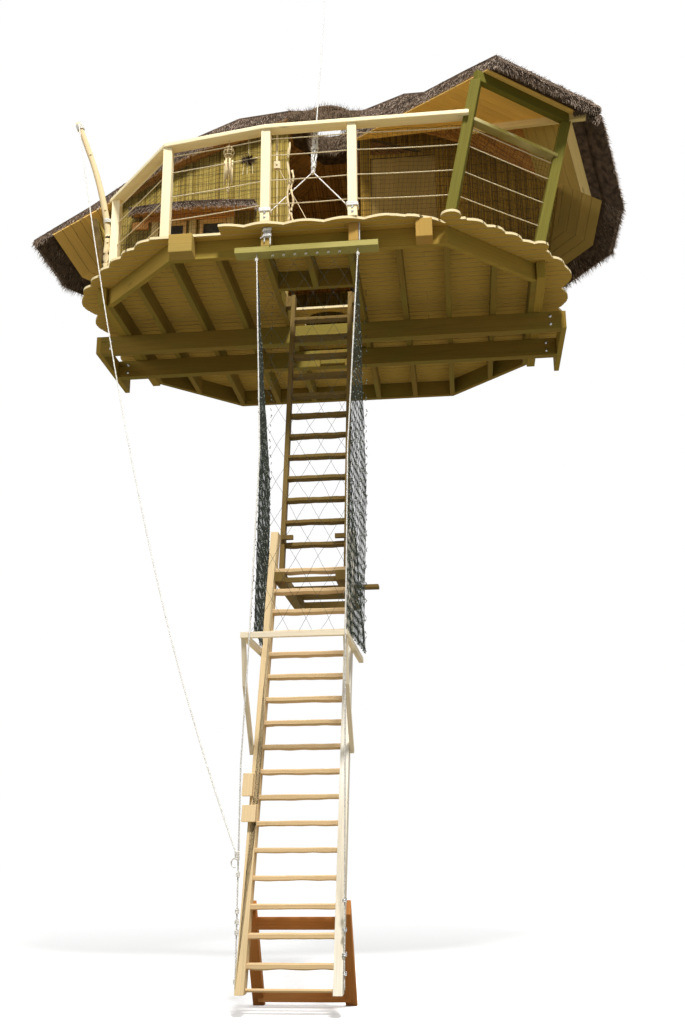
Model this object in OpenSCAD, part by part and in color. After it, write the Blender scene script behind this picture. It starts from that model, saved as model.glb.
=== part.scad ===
// Tree house: an octagonal deck clamped to a trunk by two main beams, a hut
// of reed screens under a domed thatched roof, and a two flight ladder with
// safety nets. Millimetres, +Z up. The origin is the middle of the flat face
// by which the front beam bears on the trunk, and the ladder stands on -Y.

/* [Beams] */
// Clear depth between the two bearing pads, where the trunk stands
trunk_gap = 530; // [420:10:700]
// Thickness of each bearing pad
pad_t = 34; // [20:2:60]
// Length of a bearing pad along its beam
pad_w = 300; // [200:10:400]
// Height of a bearing pad
pad_h = 180; // [120:10:200]
// Main beam height
beam_h = 220; // [160:10:300]
// Main beam thickness
beam_t = 100; // [70:5:140]
// Length of the two main beams
beam_l = 5440; // [4600:20:6200]
// Thickness of the planks across the ends of the main beams
end_plank_t = 60; // [40:5:90]

/* [Deck] */
// Frame width over the side rims
frame_w = 4820; // [4000:20:5600]
// Distance from the bearing face to the front rim's face
frame_front = 1777; // [1500:1:2100]
// Distance from the bearing face to the back rim's face
frame_back = 2223; // [1900:1:2600]
// Length that each corner of the frame takes off its front and back
corner_x = 950; // [700:10:1200]
// Length that each corner of the frame takes off its sides
corner_y = 900; // [700:10:1100]
// Joist and rim height
joist_h = 210; // [150:5:260]
// Joist thickness
joist_t = 62; // [45:1:90]
// Rim thickness
rim_t = 60; // [45:1:90]
// Deck board thickness
board_t = 28; // [20:1:40]
// How far the deck runs past the front and back rims
front_overhang = 215; // [150:5:300]
// How far the deck runs past the side rims
side_overhang = 325; // [200:5:400]
// How far the deck runs past the slanting rims at their ends
slant_overhang = 150; // [60:5:200]
// How much further it runs past them in the middle
slant_bulge = 95; // [0:5:120]
// How far the waves of the front and back edges stand out
wave_rise = 48; // [20:2:80]
// How far the waves of the side edges stand out
side_rise = 95; // [40:5:140]
// How far the small waves of the slanting edges stand out
slant_rise = 42; // [20:2:80]
// Distance from the middle to where the left of the front edge is drawn in
front_step_x = 885; // [700:5:1200]
// How far the deck still runs past the front rim there
front_step_by = 100; // [60:5:180]

/* [Hatch] */
// Room in the hatch for the packers on both sides of the ladder
hatch_play = 131; // [60:1:200]
// Distance from the bearing face to the hatch's front edge
hatch_front = 980; // [800:10:1200]
// Room round the trunk in the deck
trunk_play = 45; // [20:5:80]

/* [Railing] */
// Rail height over the deck
rail_h = 1154; // [950:2:1250]
// Railing post section
post_w = 98; // [80:2:120]
// Width of the flat top rail
rail_w = 140; // [100:5:180]
// Thickness of the flat top rail
rail_t = 46; // [35:1:60]
// Railing rope diameter
rail_rope_d = 14; // [8:1:20]

/* [Hut] */
// Wall thickness
wall_t = 60; // [40:2:90]
// How far the outer walls lean out for each unit of height
wall_lean = 0.25; // [0.1:0.01:0.35]
// Where the left front wall ends beside the trunk
porch_left = 480; // [380:10:700]
// Where the right front wall ends beside the trunk
porch_right = 430; // [380:10:700]
// Doorway width
door_w = 800; // [650:10:950]
// Doorway height over the deck
door_h = 2020; // [1850:5:2100]
// Thickness of the door leaf
door_t = 40; // [30:2:55]
// Window width
window_w = 340; // [250:10:450]
// Window height
window_h = 430; // [300:10:600]
// Height of the sill over the deck
sill_h = 890; // [700:10:1100]
// Middle of the two windows, left of the trunk
window_x = 1665; // [1300:5:1800]
// Spacing of the two windows
window_pitch = 510; // [400:10:700]
// Height of the leaning side screens
screen_h = 960; // [800:10:1200]

/* [Roof] */
// Reach of the roof's left eave from the middle
eave_x = 3560; // [3200:10:3900]
// Reach of the roof's right eave from the middle
eave_right = 3450; // [3200:10:3900]
// Distance from the bearing face to the back eave
eave_back = 3250; // [2900:10:3600]
// Height of the eaves over the bearing face, along the boards' underside
eave_z = 1540; // [1400:10:1700]
// How far the boards bend down at the eaves
eave_drop = 108; // [0:2:150]
// Height of the hood's eave over the bearing face
hood_z = 1990; // [1900:10:2100]
// Height of the roof's underside round the trunk
crown_z = 2930; // [2700:10:3100]
// Height of the hood's underside where its free edge ends at the roof
hood_top_z = 2560; // [2450:10:2800]
// Soffit board thickness
soffit_t = 24; // [18:1:30]
// Room round the trunk in the thatch collar
collar_play = 30; // [5:5:60]

/* [Ladder] */
// Height of the bearing face's middle over the ground
ground_drop = 7060; // [6000:10:8500]
// Clear width of the lower flight
lower_w = 697; // [580:1:800]
// How far the lower flight leans back for each unit of height
lower_slope = 0.337; // [0.25:0.001:0.4]
// Rise of the lower treads
lower_rise = 219; // [190:1:250]
// Lower stringer thickness
lower_t = 75; // [45:1:90]
// Depth of the lower stringers
lower_d = 130; // [100:5:180]
// Lean of the upper flight
upper_slope = 0.203; // [0.15:0.001:0.3]
// Rise of the upper treads
upper_rise = 256; // [220:1:280]
// Upper stringer thickness
upper_t = 45; // [35:1:60]
// Depth of the upper stringers
upper_d = 110; // [90:5:150]
// Tread thickness
tread_t = 40; // [30:1:55]
// Tread depth
tread_d = 120; // [90:5:160]
// Height of the landing bearers' middle over the ground
landing_h = 3795; // [3400:5:4000]

/* [Ropes] */
// Lifeline diameter
lifeline_d = 16; // [10:1:20]
// Haul rope diameter
haul_d = 14; // [10:1:20]
// Stay rope diameter
stay_d = 14; // [10:1:20]
// Thickness of a net with its knots
net_t = 10; // [6:1:16]

/* [Hidden] */
$fn = 32;
fit = 0.3;
wood = [0.82, 0.70, 0.46];
brown = [0.62, 0.48, 0.28];
reed = [0.70, 0.60, 0.32];
heather = [0.30, 0.21, 0.17];
white = [0.93, 0.92, 0.88];
black = [0.10, 0.11, 0.10];

// Levels
joist_z = beam_h / 2;
deck_z = joist_z + joist_h;
floor_z = deck_z + board_t;
ground_z = -ground_drop;
rail_z = floor_z + rail_h;

// Beams
beam_front_y = -pad_t - beam_t;
beam_back_y = trunk_gap + pad_t;
trunk_y = trunk_gap / 2;

// Deck frame, its corners in turn from the front left, seen from above
half_w = frame_w / 2;
frame = [
  [-half_w + corner_x, -frame_front], [-half_w, -frame_front + corner_y],
  [-half_w, frame_back - corner_y], [-half_w + corner_x, frame_back],
  [half_w - corner_x, frame_back], [half_w, frame_back - corner_y],
  [half_w, -frame_front + corner_y], [half_w - corner_x, -frame_front]];
// Overhang, rise and length of the waves, and bulge, of the three kinds of deck edge
edge_kinds = [
  [slant_overhang, slant_rise, 270, slant_bulge], [side_overhang, side_rise, 480, 0],
  [front_overhang, wave_rise, 430, 0]];
// Kind of each side of the frame in turn
side_kind = [0, 1, 0, 2, 0, 1, 0, 2];
hatch_w = lower_w + hatch_play;
trimmer_x = hatch_w / 2 + joist_t / 2;
joist_pitch = (half_w - rim_t - trimmer_x) / 3.8;
joist_xs = [for (side = [-1, 1], step = [0 : 3]) side * (trimmer_x + step * joist_pitch)];
back_header_y = beam_back_y + beam_t + 300;
front_post_y = -frame_front - 208;
mid_post_x = [-400, 507];
block_d = 175;
board_h = 62;
hook_y = -frame_front - block_d + 40;
hook_z = joist_z - board_h - fit;
hook_drop = 45;

// Leaning posts and the header beam on them
lean_foot = [frame[7] + [40, -153], frame[6] + [17, -327]];
lean_head = [lean_foot[0] + [341, -22], lean_foot[1] + [403, 84]];
lean_w = 110;
lean_d = 120;
header_h = 130;
header_t = 70;

// Roof: eave points and crown points, in turn from the front left
front_cut = -200;
crown_x = 465;
crown_side = 330;
crown_back = 800;
back_corner_x = 1900;
side_corner_y = 900;
back_run = eave_back - side_corner_y;
crown_step = (crown_back - crown_side) / back_run;
hood_left = lean_head[0] + [196, -135];
hood_right = lean_head[1] + [300, -65];
hood_run = hood_left - hood_right;
crown_front_y = -100;
hood_step = (front_cut - crown_front_y) / hood_run[1];
hood_eave = [[hood_right[0], hood_right[1], hood_z], [hood_left[0], hood_left[1], hood_z]];
hood_top = [crown_x + hood_run[0] * hood_step, front_cut, hood_top_z];
eaves = [
  [-eave_x, front_cut, eave_z], [-eave_x, side_corner_y, eave_z],
  [-back_corner_x, eave_back, eave_z], [back_corner_x, eave_back, eave_z],
  [eave_right, side_corner_y, eave_z], [eave_right, -150, eave_z], hood_eave[0],
  hood_eave[0], hood_eave[0], hood_eave[1]];
crown = [
  [-crown_x, front_cut, crown_z], [-crown_x, crown_side, crown_z],
  [-crown_x + (eave_x - back_corner_x) * crown_step, crown_back, crown_z],
  [crown_x - (eave_right - back_corner_x) * crown_step, crown_back, crown_z],
  [crown_x, crown_side, crown_z], [crown_x, crown_front_y, crown_z],
  [crown_x, crown_front_y, crown_z], [crown_x, crown_front_y, crown_z], hood_top, hood_top];
// The roof's sections from here on belong to the hood
hood_first = 7;
// How far up the roof the boards end, and where their eave bends down
board_end = 0.05;
bend_at = 0.3;
// Dome of the boards: share of the way up the roof, and height over a straight roof
dome = [[1, 0], [0.8, 90], [0.6, 135], [0.45, 85], [bend_at, 0]];
board_stops = [for (stop = dome) stop[0]];
// Top of the thatch: share of the way up the roof, and height over the line of the boards
main_build = [
  [-0.01, -150], [-0.03, -90], [-0.026, -46], [0.07, 3], [0.2, 66], [0.3, 145], [0.4, 220],
  [0.5, 295], [0.6, 370], [0.7, 362], [0.8, 350], [0.9, 240], [1, 130]];
hood_build = [
  [-0.01, -40], [-0.02, 40], [0, 122], [0.2, 138], [0.3, 140], [0.4, 142], [0.5, 145],
  [0.6, 148], [0.7, 150], [0.8, 150], [0.9, 150], [1, 140]];
hood_reach = norm(hood_run);
hood_normal = [-hood_run[1], hood_run[0]] / hood_reach;
function hood_out(p) = abs([p[0], p[1]] * hood_normal);
hood_pitch = (hood_top_z - hood_z) / (hood_out(hood_left) - hood_out(hood_top));
header_top = hood_z + hood_pitch * (hood_out(hood_left) - hood_out(lean_head[0]) - header_t / 2 - 14) - 2;

// Walls
wall_x = half_w + 40;
wall_back_y = frame_back - 50;
wall_foot = [
  [-wall_x, 0], [-wall_x, wall_back_y - corner_y], [-wall_x + corner_x, wall_back_y],
  [wall_x - corner_x, wall_back_y], [wall_x, wall_back_y - corner_y], [wall_x, 0]];
wall_h = crown_z - floor_z;
door_left = porch_right + 120;
door_right = door_left + door_w;
sash = 40;

// Ladder, by heights over the ground
upper_w = lower_w - 2 * (upper_t + fit);
lower_out = lower_w / 2 + lower_t;
lower_angle = atan(lower_slope);
upper_angle = atan(upper_slope);
lower_from = 165;
lower_first = 368;
lower_count = floor((landing_h - lower_first) / lower_rise) + 2;
lower_top = lower_first + (lower_count - 1) * lower_rise + 438;
upper_foot = landing_h + 50;
upper_first = landing_h + 411;
upper_top = ground_drop + deck_z - 20;
upper_top_y = -483;
upper_count = floor((upper_top - upper_first) / upper_rise);
// How far in front of the upper flight the lower one passes the landing
flight_step = 186;
function upper_y(h) = upper_top_y - upper_slope * (upper_top - h);
function lower_y(h) = upper_y(landing_h) - flight_step + lower_slope * (h - landing_h);
lower_half = lower_d / 2 / cos(lower_angle);
bearer_w = 99;
bearer_x = lower_w / 2 - fit - bearer_w / 2;
net_frame_h = 0.43 * ground_drop;
net_front_y = lower_y(net_frame_h) - 831;
net_bar = 50;

// Bar of rectangular section from p to q, w across and h high
module bar(p, q, w, h) {
  run = q - p;
  yaw = atan2(run[1], run[0]);
  rise = atan2(run[2], norm([run[0], run[1]]));
  translate(p) rotate([0, -rise, yaw]) translate([0, -w / 2, -h / 2]) cube([norm(run), w, h]);
}

// Round rod or rope from p to q
module rod(p, q, d) {
  run = q - p;
  yaw = atan2(run[1], run[0]);
  rise = atan2(run[2], norm([run[0], run[1]]));
  translate(p) rotate([0, 90 - rise, yaw]) cylinder(h = norm(run), d = d);
}

// Round pole or rope through all the points, a little thicker at the bends
knot_growth = 1.12;
module bent_rod(points, d) {
  last = len(points) - 1;
  for (i = [0 : last - 1]) rod(points[i], points[i + 1], d);
  if (last > 1) for (i = [1 : last - 1]) translate(points[i]) sphere(d = d * knot_growth);
}

// Outward normal of the side from a to b, for corners in turn seen from above
function outward(a, b) = [a[1] - b[1], b[0] - a[0]] / norm(b - a);
// Corner i when the side before it moves out by before, and the side after it by after
function moved_corner(points, i, before, after) =
  let (n = len(points), m = outward(points[(i + n - 1) % n], points[i]),
    k = outward(points[i], points[(i + 1) % n]), c = m * k)
  points[i] + ((before - after * c) * m + (after - before * c) * k) / (1 - c * c);
function grown(points, by) = [for (i = [0 : len(points) - 1]) moved_corner(points, i, by, by)];
function corner_move(points, i) = moved_corner(points, i, 1, 1) - points[i];

// Upright prism on a plan outline
module prism(points, z, h) {
  translate([0, 0, z]) linear_extrude(height = h) polygon(points);
}

// Corners of the deck before its waves
deck_edge = [for (i = [0 : 7])
  moved_corner(frame, i, edge_kinds[side_kind[(i + 7) % 8]][0], edge_kinds[side_kind[i]][0])];
function wave_count(i) = round(norm(deck_edge[(i + 1) % 8] - deck_edge[i]) / edge_kinds[side_kind[i]][2]);
wave_steps = 8;

// Deck outline with waves on every side, drawn in along the left of the front, and cut
// off slanting to a notch at the right of the front
module deck_outline() {
  step = [-front_step_x, -frame_front - front_step_by];
  notch = frame[7] + [-20, -40];
  difference() {
    polygon([for (i = [0 : 7], k = [0 : wave_count(i) - 1], j = [0 : wave_steps - 1])
      let (a = deck_edge[i], b = deck_edge[(i + 1) % 8], kind = edge_kinds[side_kind[i]],
        along = (k + j / wave_steps) / wave_count(i),
        out = kind[1] * sin(180 * j / wave_steps) + kind[3] * sin(180 * along))
      a + (b - a) * along + outward(a, b) * out]);
    translate(step - [frame_w, frame_w]) square(frame_w);
    polygon([
      notch + [-560, -215], notch + [-300, -170], notch + [-110, -88], notch, notch + [50, -42],
      notch + [140, -62], notch + [260, -56], notch + [400, -500], notch + [-560, -500]]);
  }
}

// Part of the deck between two corners of a rectangle
module deck_part(x0, x1, y0, y1) {
  translate([0, 0, deck_z]) linear_extrude(height = board_t) intersection() {
    deck_outline();
    translate([x0, y0]) square([x1 - x0, y1 - y0]);
  }
}

// Rim between corners i and i + 1 of the frame
module rim(i) {
  inner = grown(frame, -rim_t);
  j = (i + 1) % 8;
  prism([frame[i], frame[j], inner[j], inner[i]], joist_z, joist_h);
}

// Solid through sections with as many points each
module loft(sections) {
  n = len(sections[0]);
  last = (len(sections) - 1) * n;
  polyhedron(
    points = [for (s = sections, p = s) p],
    faces = concat(
      [[for (k = [0 : n - 1]) k]],
      [[for (k = [0 : n - 1]) last + n - 1 - k]],
      [for (i = [0 : n : last - n], k = [0 : n - 1]) [i + (k + 1) % n, i + k, i + n + k]],
      [for (i = [0 : n : last - n], k = [0 : n - 1]) [i + (k + 1) % n, i + n + k, i + n + (k + 1) % n]]));
}

module between_sections(a, b) {
  loft([a, b]);
}

// Point of roof section i, at a share s of the way up and a height over the straight line;
// below the eave both sections at the hood's corner run on the same way
function roof_line(i, s, over) =
  eaves[i] + (crown[s < 0 && i == hood_first ? i + 1 : i] - eaves[i]) * s + [0, 0, over];
// The same over the boards' underside, that is domed and bends down at the eaves but not at the hood
function board_line(i, s, over) =
  let (down = s < bend_at ? eave_drop * (bend_at - s) / bend_at : 0)
  roof_line(i, s, over + (i < hood_first ? lookup(s, dome) - down : 0));
function thatch_section(i) = concat(
  [for (s = board_stops) board_line(i, s, soffit_t + fit)],
  [board_line(i, board_end, soffit_t + fit)],
  [for (b = i < hood_first ? main_build : hood_build) roof_line(i, b[0], b[1])]);
function soffit_section(i) = concat(
  [for (s = board_stops) board_line(i, s, 0)],
  [for (over = [0, soffit_t]) board_line(i, board_end, over)],
  [for (k = [len(board_stops) - 1 : -1 : 0]) board_line(i, board_stops[k], soffit_t)]);

function dropped(p) = [p[0], p[1], floor_z];
function room_section(i) = concat(
  [dropped(crown[i]), dropped(eaves[i]), board_line(i, 0, -fit)],
  [for (k = [len(board_stops) - 1 : -1 : 0]) board_line(i, board_stops[k], -fit)]);

// Space over the floor and under the roof boards, that the walls fill to the top
module under_roof() {
  for (i = [0 : 4]) between_sections(room_section(i), room_section(i + 1));
  prism([for (i = [0 : 5]) [crown[i][0], crown[i][1]]], floor_z, crown_z - fit - floor_z);
}

// Wall over a line of feet, leaning out along the moves, with mitred corners
module leaning_wall(feet, moves, h) {
  function at(i, out, up) = [feet[i][0] + moves[i][0] * out, feet[i][1] + moves[i][1] * out, floor_z + up];
  top = wall_lean * h;
  inner = top - wall_t;
  loft([for (i = [0 : len(feet) - 1]) [at(i, -wall_t, 0), at(i, 0, 0), at(i, top, h), at(i, inner, h)]]);
}

module main_beam_front() {
  color(brown) translate([-beam_l / 2, beam_front_y, -beam_h / 2])
    cube([beam_l, beam_t, beam_h]);
}

module main_beam_back() {
  color(brown) translate([-beam_l / 2, beam_back_y, -beam_h / 2])
    cube([beam_l, beam_t, beam_h]);
}

// Planks on edge across the ends of both main beams, running on behind the back one
module end_planks() {
  run_on = 400;
  color(wood) for (x = [-beam_l / 2 - fit - end_plank_t, beam_l / 2 + fit])
    translate([x, beam_front_y, -beam_h / 2])
      cube([end_plank_t, beam_back_y + beam_t - beam_front_y + run_on, beam_h]);
}

// Heavy timbers outside the side rims, whose ends show under the corners of the deck
module side_timbers() {
  wide = 100;
  past = 63;
  color(wood) for (x = [-half_w - fit - wide, half_w + fit])
    translate([x, frame[1][1] - past, joist_z])
      cube([wide, frame[2][1] - frame[1][1] + 2 * past, joist_h]);
}

module trunk_pads() {
  color(wood) for (y = [-pad_t, trunk_gap])
    translate([-pad_w / 2, y, -pad_h / 2]) cube([pad_w, pad_t, pad_h]);
}

module joists() {
  color(brown) intersection() {
    prism(grown(frame, -rim_t), joist_z, joist_h);
    for (x = joist_xs)
      translate([x - joist_t / 2, -frame_front, joist_z]) cube([joist_t, frame_front + frame_back, joist_h]);
  }
}

module front_rims() {
  color(wood) for (i = [7, 0, 6]) rim(i);
}

module rear_rims() {
  color(brown) for (i = [1 : 5]) rim(i);
}

// Header across the front of the hatch, one behind the trunk, and the short middle joist
module hatch_header() {
  inner = hatch_w - 2 * fit;
  color(brown) {
    translate([-inner / 2, -hatch_front - joist_t, joist_z]) cube([inner, joist_t, joist_h]);
    translate([-joist_t / 2, -frame_front + rim_t, joist_z])
      cube([joist_t, frame_front - rim_t - hatch_front - joist_t / 2, joist_h]);
    translate([-inner / 2, back_header_y, joist_z]) cube([inner, joist_t, joist_h]);
  }
}

// Front of the deck, with round ears under the leaning posts
module deck_front() {
  color(wood) {
    deck_part(-2 * half_w, 2 * half_w, -2 * frame_front, -hatch_front);
    for (p = lean_foot) translate([p[0], p[1], deck_z]) cylinder(h = board_t, r = 105);
  }
}

module deck_left() {
  color(wood) deck_part(-2 * half_w, -hatch_w / 2, -hatch_front, back_header_y);
}

module deck_right() {
  color(wood) deck_part(hatch_w / 2, 2 * half_w, -hatch_front, back_header_y);
}

module deck_back() {
  color(wood) deck_part(-2 * half_w, 2 * half_w, back_header_y, 2 * frame_back);
}

// Boards round the trunk, behind the hatch
module deck_middle() {
  color(wood) difference() {
    deck_part(-hatch_w / 2, hatch_w / 2, beam_front_y, back_header_y);
    translate([0, trunk_y, deck_z - 1]) cylinder(h = board_t + 2, d = trunk_gap + 2 * trunk_play, $fn = 64);
  }
}

// Blocks on the front rim that carry the front posts
module post_blocks() {
  ends = [[frame[0][0] + 160, 250], [frame[7][0] - 235, 170]];
  color(wood) for (b = concat(ends, [for (x = mid_post_x) [x, 100]]))
    translate([b[0] - b[1] / 2, -frame_front - block_d, joist_z]) cube([b[1], block_d, joist_h]);
}

// Plan places of the four upright posts
function post_places() = [
  frame[1] + [48, -10], frame[0] + [-45, -20], [mid_post_x[0], front_post_y], [mid_post_x[1], front_post_y]];

// Upright posts, grown by a clearance where they are cut out of other pieces
module posts(by) {
  side = post_w + 2 * by;
  for (p = post_places())
    translate([p[0] - side / 2, p[1] - side / 2, floor_z]) cube([side, side, rail_h - rail_t]);
}

module railing_posts() {
  color(wood) posts(0);
}

function lean_point(i, z) =
  let (s = (z - floor_z) / (hood_z - floor_z), p = lean_foot[i] + (lean_head[i] - lean_foot[i]) * s)
  [p[0], p[1], z];

// Leaning posts, grown by a clearance where they are cut out of other pieces
module leaners(by) {
  top = header_top - header_h;
  for (i = [0, 1]) difference() {
    bar(lean_point(i, floor_z - 60), lean_point(i, top + 60), lean_d + 2 * by, lean_w + 2 * by);
    for (z = [floor_z - 500, top])
      translate([0, -3 * frame_front, z]) cube([3 * half_w, 3 * frame_front, 500]);
  }
}

module leaning_posts() {
  color(wood) leaners(0);
}

module header_beam() {
  ends = [for (i = [0, 1]) lean_point(i, header_top - header_h / 2)];
  along = (ends[1] - ends[0]) / norm(ends[1] - ends[0]);
  color(wood) bar(ends[0] - along * 20, ends[1] + along * 20, header_t, header_h);
}

// Points beside a line on plan, with mitred corners
function beside(line, by) = [for (i = [0 : len(line) - 1])
  let (m = outward(line[max(i - 1, 0)], line[max(i, 1)]),
    k = outward(line[min(i, len(line) - 2)], line[min(i + 1, len(line) - 1)]))
  line[i] + by * (m + k) / (1 + m * k)];
function turned(line) = [for (i = [len(line) - 1 : -1 : 0]) line[i]];

// Flat rails on the posts, and the lower one between the leaning posts
module top_rails() {
  z = rail_z - rail_t / 2;
  places = post_places();
  first = lean_point(0, z - 30);
  last = lean_point(1, z - 30);
  start = places[0] + (places[0] - places[1]) / norm(places[1] - places[0]) * rail_w / 2;
  line = [start, places[1], places[2], [first[0], front_post_y]];
  color(wood) difference() {
    union() {
      prism(concat(beside(line, rail_w / 2), turned(beside(line, -rail_w / 2))), rail_z - rail_t, rail_t);
      bar(first, last, lean_w - 10, rail_t);
    }
    leaners(fit);
  }
}

// Four ropes from post to post, at heights over the deck
module rail_ropes() {
  color(white) difference() {
    for (h = [227, 513, 811, 1014], z = floor_z + h) {
      line = concat([for (p = post_places()) [p[0], p[1], z]], [lean_point(0, z), lean_point(1, z)]);
      for (i = [0 : 4]) rod(line[i], line[i + 1], rail_rope_d);
    }
    posts(fit);
    leaners(fit);
  }
}

// Board under the front blocks, with seven hooks for the nets
module hook_board() {
  color(wood) {
    translate([-722, -frame_front - block_d, joist_z - board_h]) cube([1479, 150, board_h]);
    for (x = [-330, -215, -100, 15, 130, 245, 360])
      translate([x, hook_y, hook_z - hook_drop]) cylinder(h = hook_drop + 1, d = 8);
  }
}

// Upright plate in the front wall's place
module front_plate(points) {
  rotate([90, 0, 0]) linear_extrude(height = wall_t) polygon(points);
}

function window_left(i) = -window_x + (i - 0.5) * window_pitch - window_w / 2;

module wall_front_left() {
  color(reed) difference() {
    intersection() {
      front_plate([
        [-wall_x, floor_z], [-porch_left, floor_z], [-porch_left, crown_z],
        [-wall_x - wall_lean * wall_h, crown_z]]);
      under_roof();
    }
    for (i = [0, 1])
      translate([window_left(i), -wall_t - 1, floor_z + sill_h]) cube([window_w, wall_t + 2, window_h]);
  }
}

module wall_front_right() {
  over = floor_z + door_h + 55;
  color(reed) difference() {
    intersection() {
      front_plate([
        [porch_right, floor_z], [wall_x, floor_z],
        [wall_x + wall_lean * wall_h, crown_z], [porch_right, crown_z]]);
      under_roof();
    }
    translate([door_left, -wall_t - 1, floor_z - 1]) cube([door_w, wall_t + 2, door_h + 1]);
    translate([0, 1, 0]) rotate([90, 0, 0]) linear_extrude(height = wall_t + 2)
      polygon([[door_left, over], [door_right - 150, over], [door_left, over + 250]]);
  }
}

module door_leaf() {
  color(brown) translate([door_left + 4, -wall_t + 8, floor_z + 4])
    cube([door_w - 8, door_t, door_h - 4 - fit]);
}

module window_frames() {
  w = window_w - 2 * fit;
  h = window_h - 2 * fit;
  color(wood) for (i = [0, 1])
    translate([window_left(i) + fit, -wall_t - 12, floor_z + sill_h + fit]) difference() {
      cube([w, wall_t + 12, h]);
      translate([sash, -1, sash]) cube([w - 2 * sash, wall_t + 14, h - 2 * sash]);
    }
}

module window_panes() {
  edge = sash + 2 * fit;
  color([0.2, 0.24, 0.26]) for (i = [0, 1])
    translate([window_left(i) + edge, -wall_t / 2 - 3, floor_z + sill_h + edge])
      cube([window_w - 2 * edge, 6, window_h - 2 * edge]);
}

// Thatched eyebrow over the windows
module window_canopy() {
  reach = 420;
  half = 775;
  bow = 170;
  r = (half * half + bow * bow) / (2 * bow);
  over = floor_z + sill_h + window_h;
  color(heather) translate([-window_x + 30, -wall_t - fit, 0]) intersection() {
    difference() {
      translate([0, -reach + r, over - 450]) cylinder(h = 900, r = r, $fn = 128);
      translate([-r, 0, over - 500]) cube([2 * r, 3 * r, 1000]);
    }
    translate([0, 0, over + 183]) rotate([22, 0, 0]) translate([-half, -600, -80]) cube([2 * half, 700, 80]);
  }
}

module wall_left() {
  n = outward(wall_foot[0], wall_foot[1]);
  color(reed) intersection() {
    leaning_wall([wall_foot[0] + [0, fit], wall_foot[1]], [n, corner_move(wall_foot, 1)], wall_h);
    under_roof();
  }
}

module wall_right() {
  n = outward(wall_foot[4], wall_foot[5]);
  color(reed) intersection() {
    leaning_wall([wall_foot[4], wall_foot[5] + [0, fit]], [corner_move(wall_foot, 4), n], wall_h);
    under_roof();
  }
}

module wall_back() {
  color(reed) intersection() {
    leaning_wall([for (i = [1 : 4]) wall_foot[i]], [for (i = [1 : 4]) corner_move(wall_foot, i)], wall_h);
    under_roof();
  }
}

// Leaning reed screens along the sides of the terrace
module side_screens() {
  front = -frame_front + corner_y + 70;
  back = -wall_t - fit;
  color(reed) {
    leaning_wall([[-wall_x, front], [-wall_x, back]], [[-1, 0], [-1, 0]], screen_h);
    leaning_wall([[wall_x, back], [wall_x, front]], [[1, 0], [1, 0]], screen_h);
  }
}

module soffit_boards() {
  color(wood) for (i = [0, 1, 2, 3, 4, 5, 7, 8]) between_sections(soffit_section(i), soffit_section(i + 1));
}

module thatch(first, last) {
  color(heather) for (i = [first : last]) between_sections(thatch_section(i), thatch_section(i + 1));
}

module thatch_left() {
  thatch(0, 0);
}

module thatch_back() {
  thatch(1, 3);
}

module thatch_right() {
  thatch(4, 5);
}

module thatch_hood() {
  thatch(7, 8);
}

// Collar of straw that closes the crown round the trunk
module thatch_collar() {
  ring = grown([for (i = [0 : 5]) [crown[i][0], crown[i][1]]], -fit);
  color(heather) difference() {
    union() {
      prism(ring, crown_z, 130);
      translate([0, trunk_y, crown_z + 129]) cylinder(h = 130, d1 = 800, d2 = 690, $fn = 64);
    }
    translate([0, trunk_y, crown_z - 1]) cylinder(h = 500, d = trunk_gap + 2 * collar_play, $fn = 64);
  }
}

// Stringer of one flight, from height h0 to h1 over the ground, cut level at both ends
module stringer(x, t, half, h0, h1, y0, slope) {
  y1 = y0 + slope * (h1 - h0);
  translate([x, 0, ground_z]) rotate([90, 0, 90]) linear_extrude(height = t)
    polygon([[y0 - half, h0], [y0 + half, h0], [y1 + half, h1], [y1 - half, h1]]);
}

module lower_stringers() {
  color(wood) {
    for (x = [-lower_out, lower_w / 2])
      stringer(x, lower_t, lower_half, lower_from, lower_top, lower_y(lower_from), lower_slope);
    // Guide blocks on the front of the left stringer: left side, width and two heights
    for (g = [[-lower_out - 60, 90, 1690, 1885], [-lower_out - 46, 120, 1475, 1615]])
      stringer(g[0], g[1], 40, g[2], g[3], lower_y(g[2]) - lower_half - 30, lower_slope);
  }
}

module lower_treads() {
  color(wood) for (k = [0 : lower_count - 1]) {
    h = lower_first + k * lower_rise;
    translate([-lower_w / 2, lower_y(h) - tread_d / 2, ground_z + h - tread_t / 2])
      cube([lower_w, tread_d, tread_t]);
  }
  step = [lower_w / 2, lower_y(lower_from + 30), ground_z + lower_from + 30];
  color(wood) rod(step - [lower_w, 0, 0], step, 28);
}

module upper_stringers() {
  half = upper_d / 2 / cos(upper_angle);
  packer = (hatch_w - upper_w) / 2 - upper_t - fit;
  cleat_h = upper_foot + 430;
  color(wood) {
    for (x = [-upper_w / 2 - upper_t, upper_w / 2])
      stringer(x, upper_t, half, upper_foot, upper_top, upper_y(upper_foot), upper_slope);
    for (x = [-upper_w / 2 - upper_t - packer, upper_w / 2 + upper_t])
      translate([x, upper_y(upper_top - 90) - 50, ground_z + upper_top - 150]) cube([packer, 100, 130]);
    for (x = [-upper_w / 2 - upper_t / 2, upper_w / 2 - 90])
      translate([x, upper_y(cleat_h) - half - 38, ground_z + cleat_h - 22]) cube([90 + upper_t / 2, 42, 44]);
  }
}

module upper_treads() {
  color(wood) for (k = [0 : upper_count - 1]) {
    h = upper_first + k * upper_rise;
    translate([-upper_w / 2, upper_y(h) - tread_d / 2 + 10, ground_z + h - tread_t / 2])
      cube([upper_w, tread_d - 20, tread_t]);
  }
}

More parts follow.
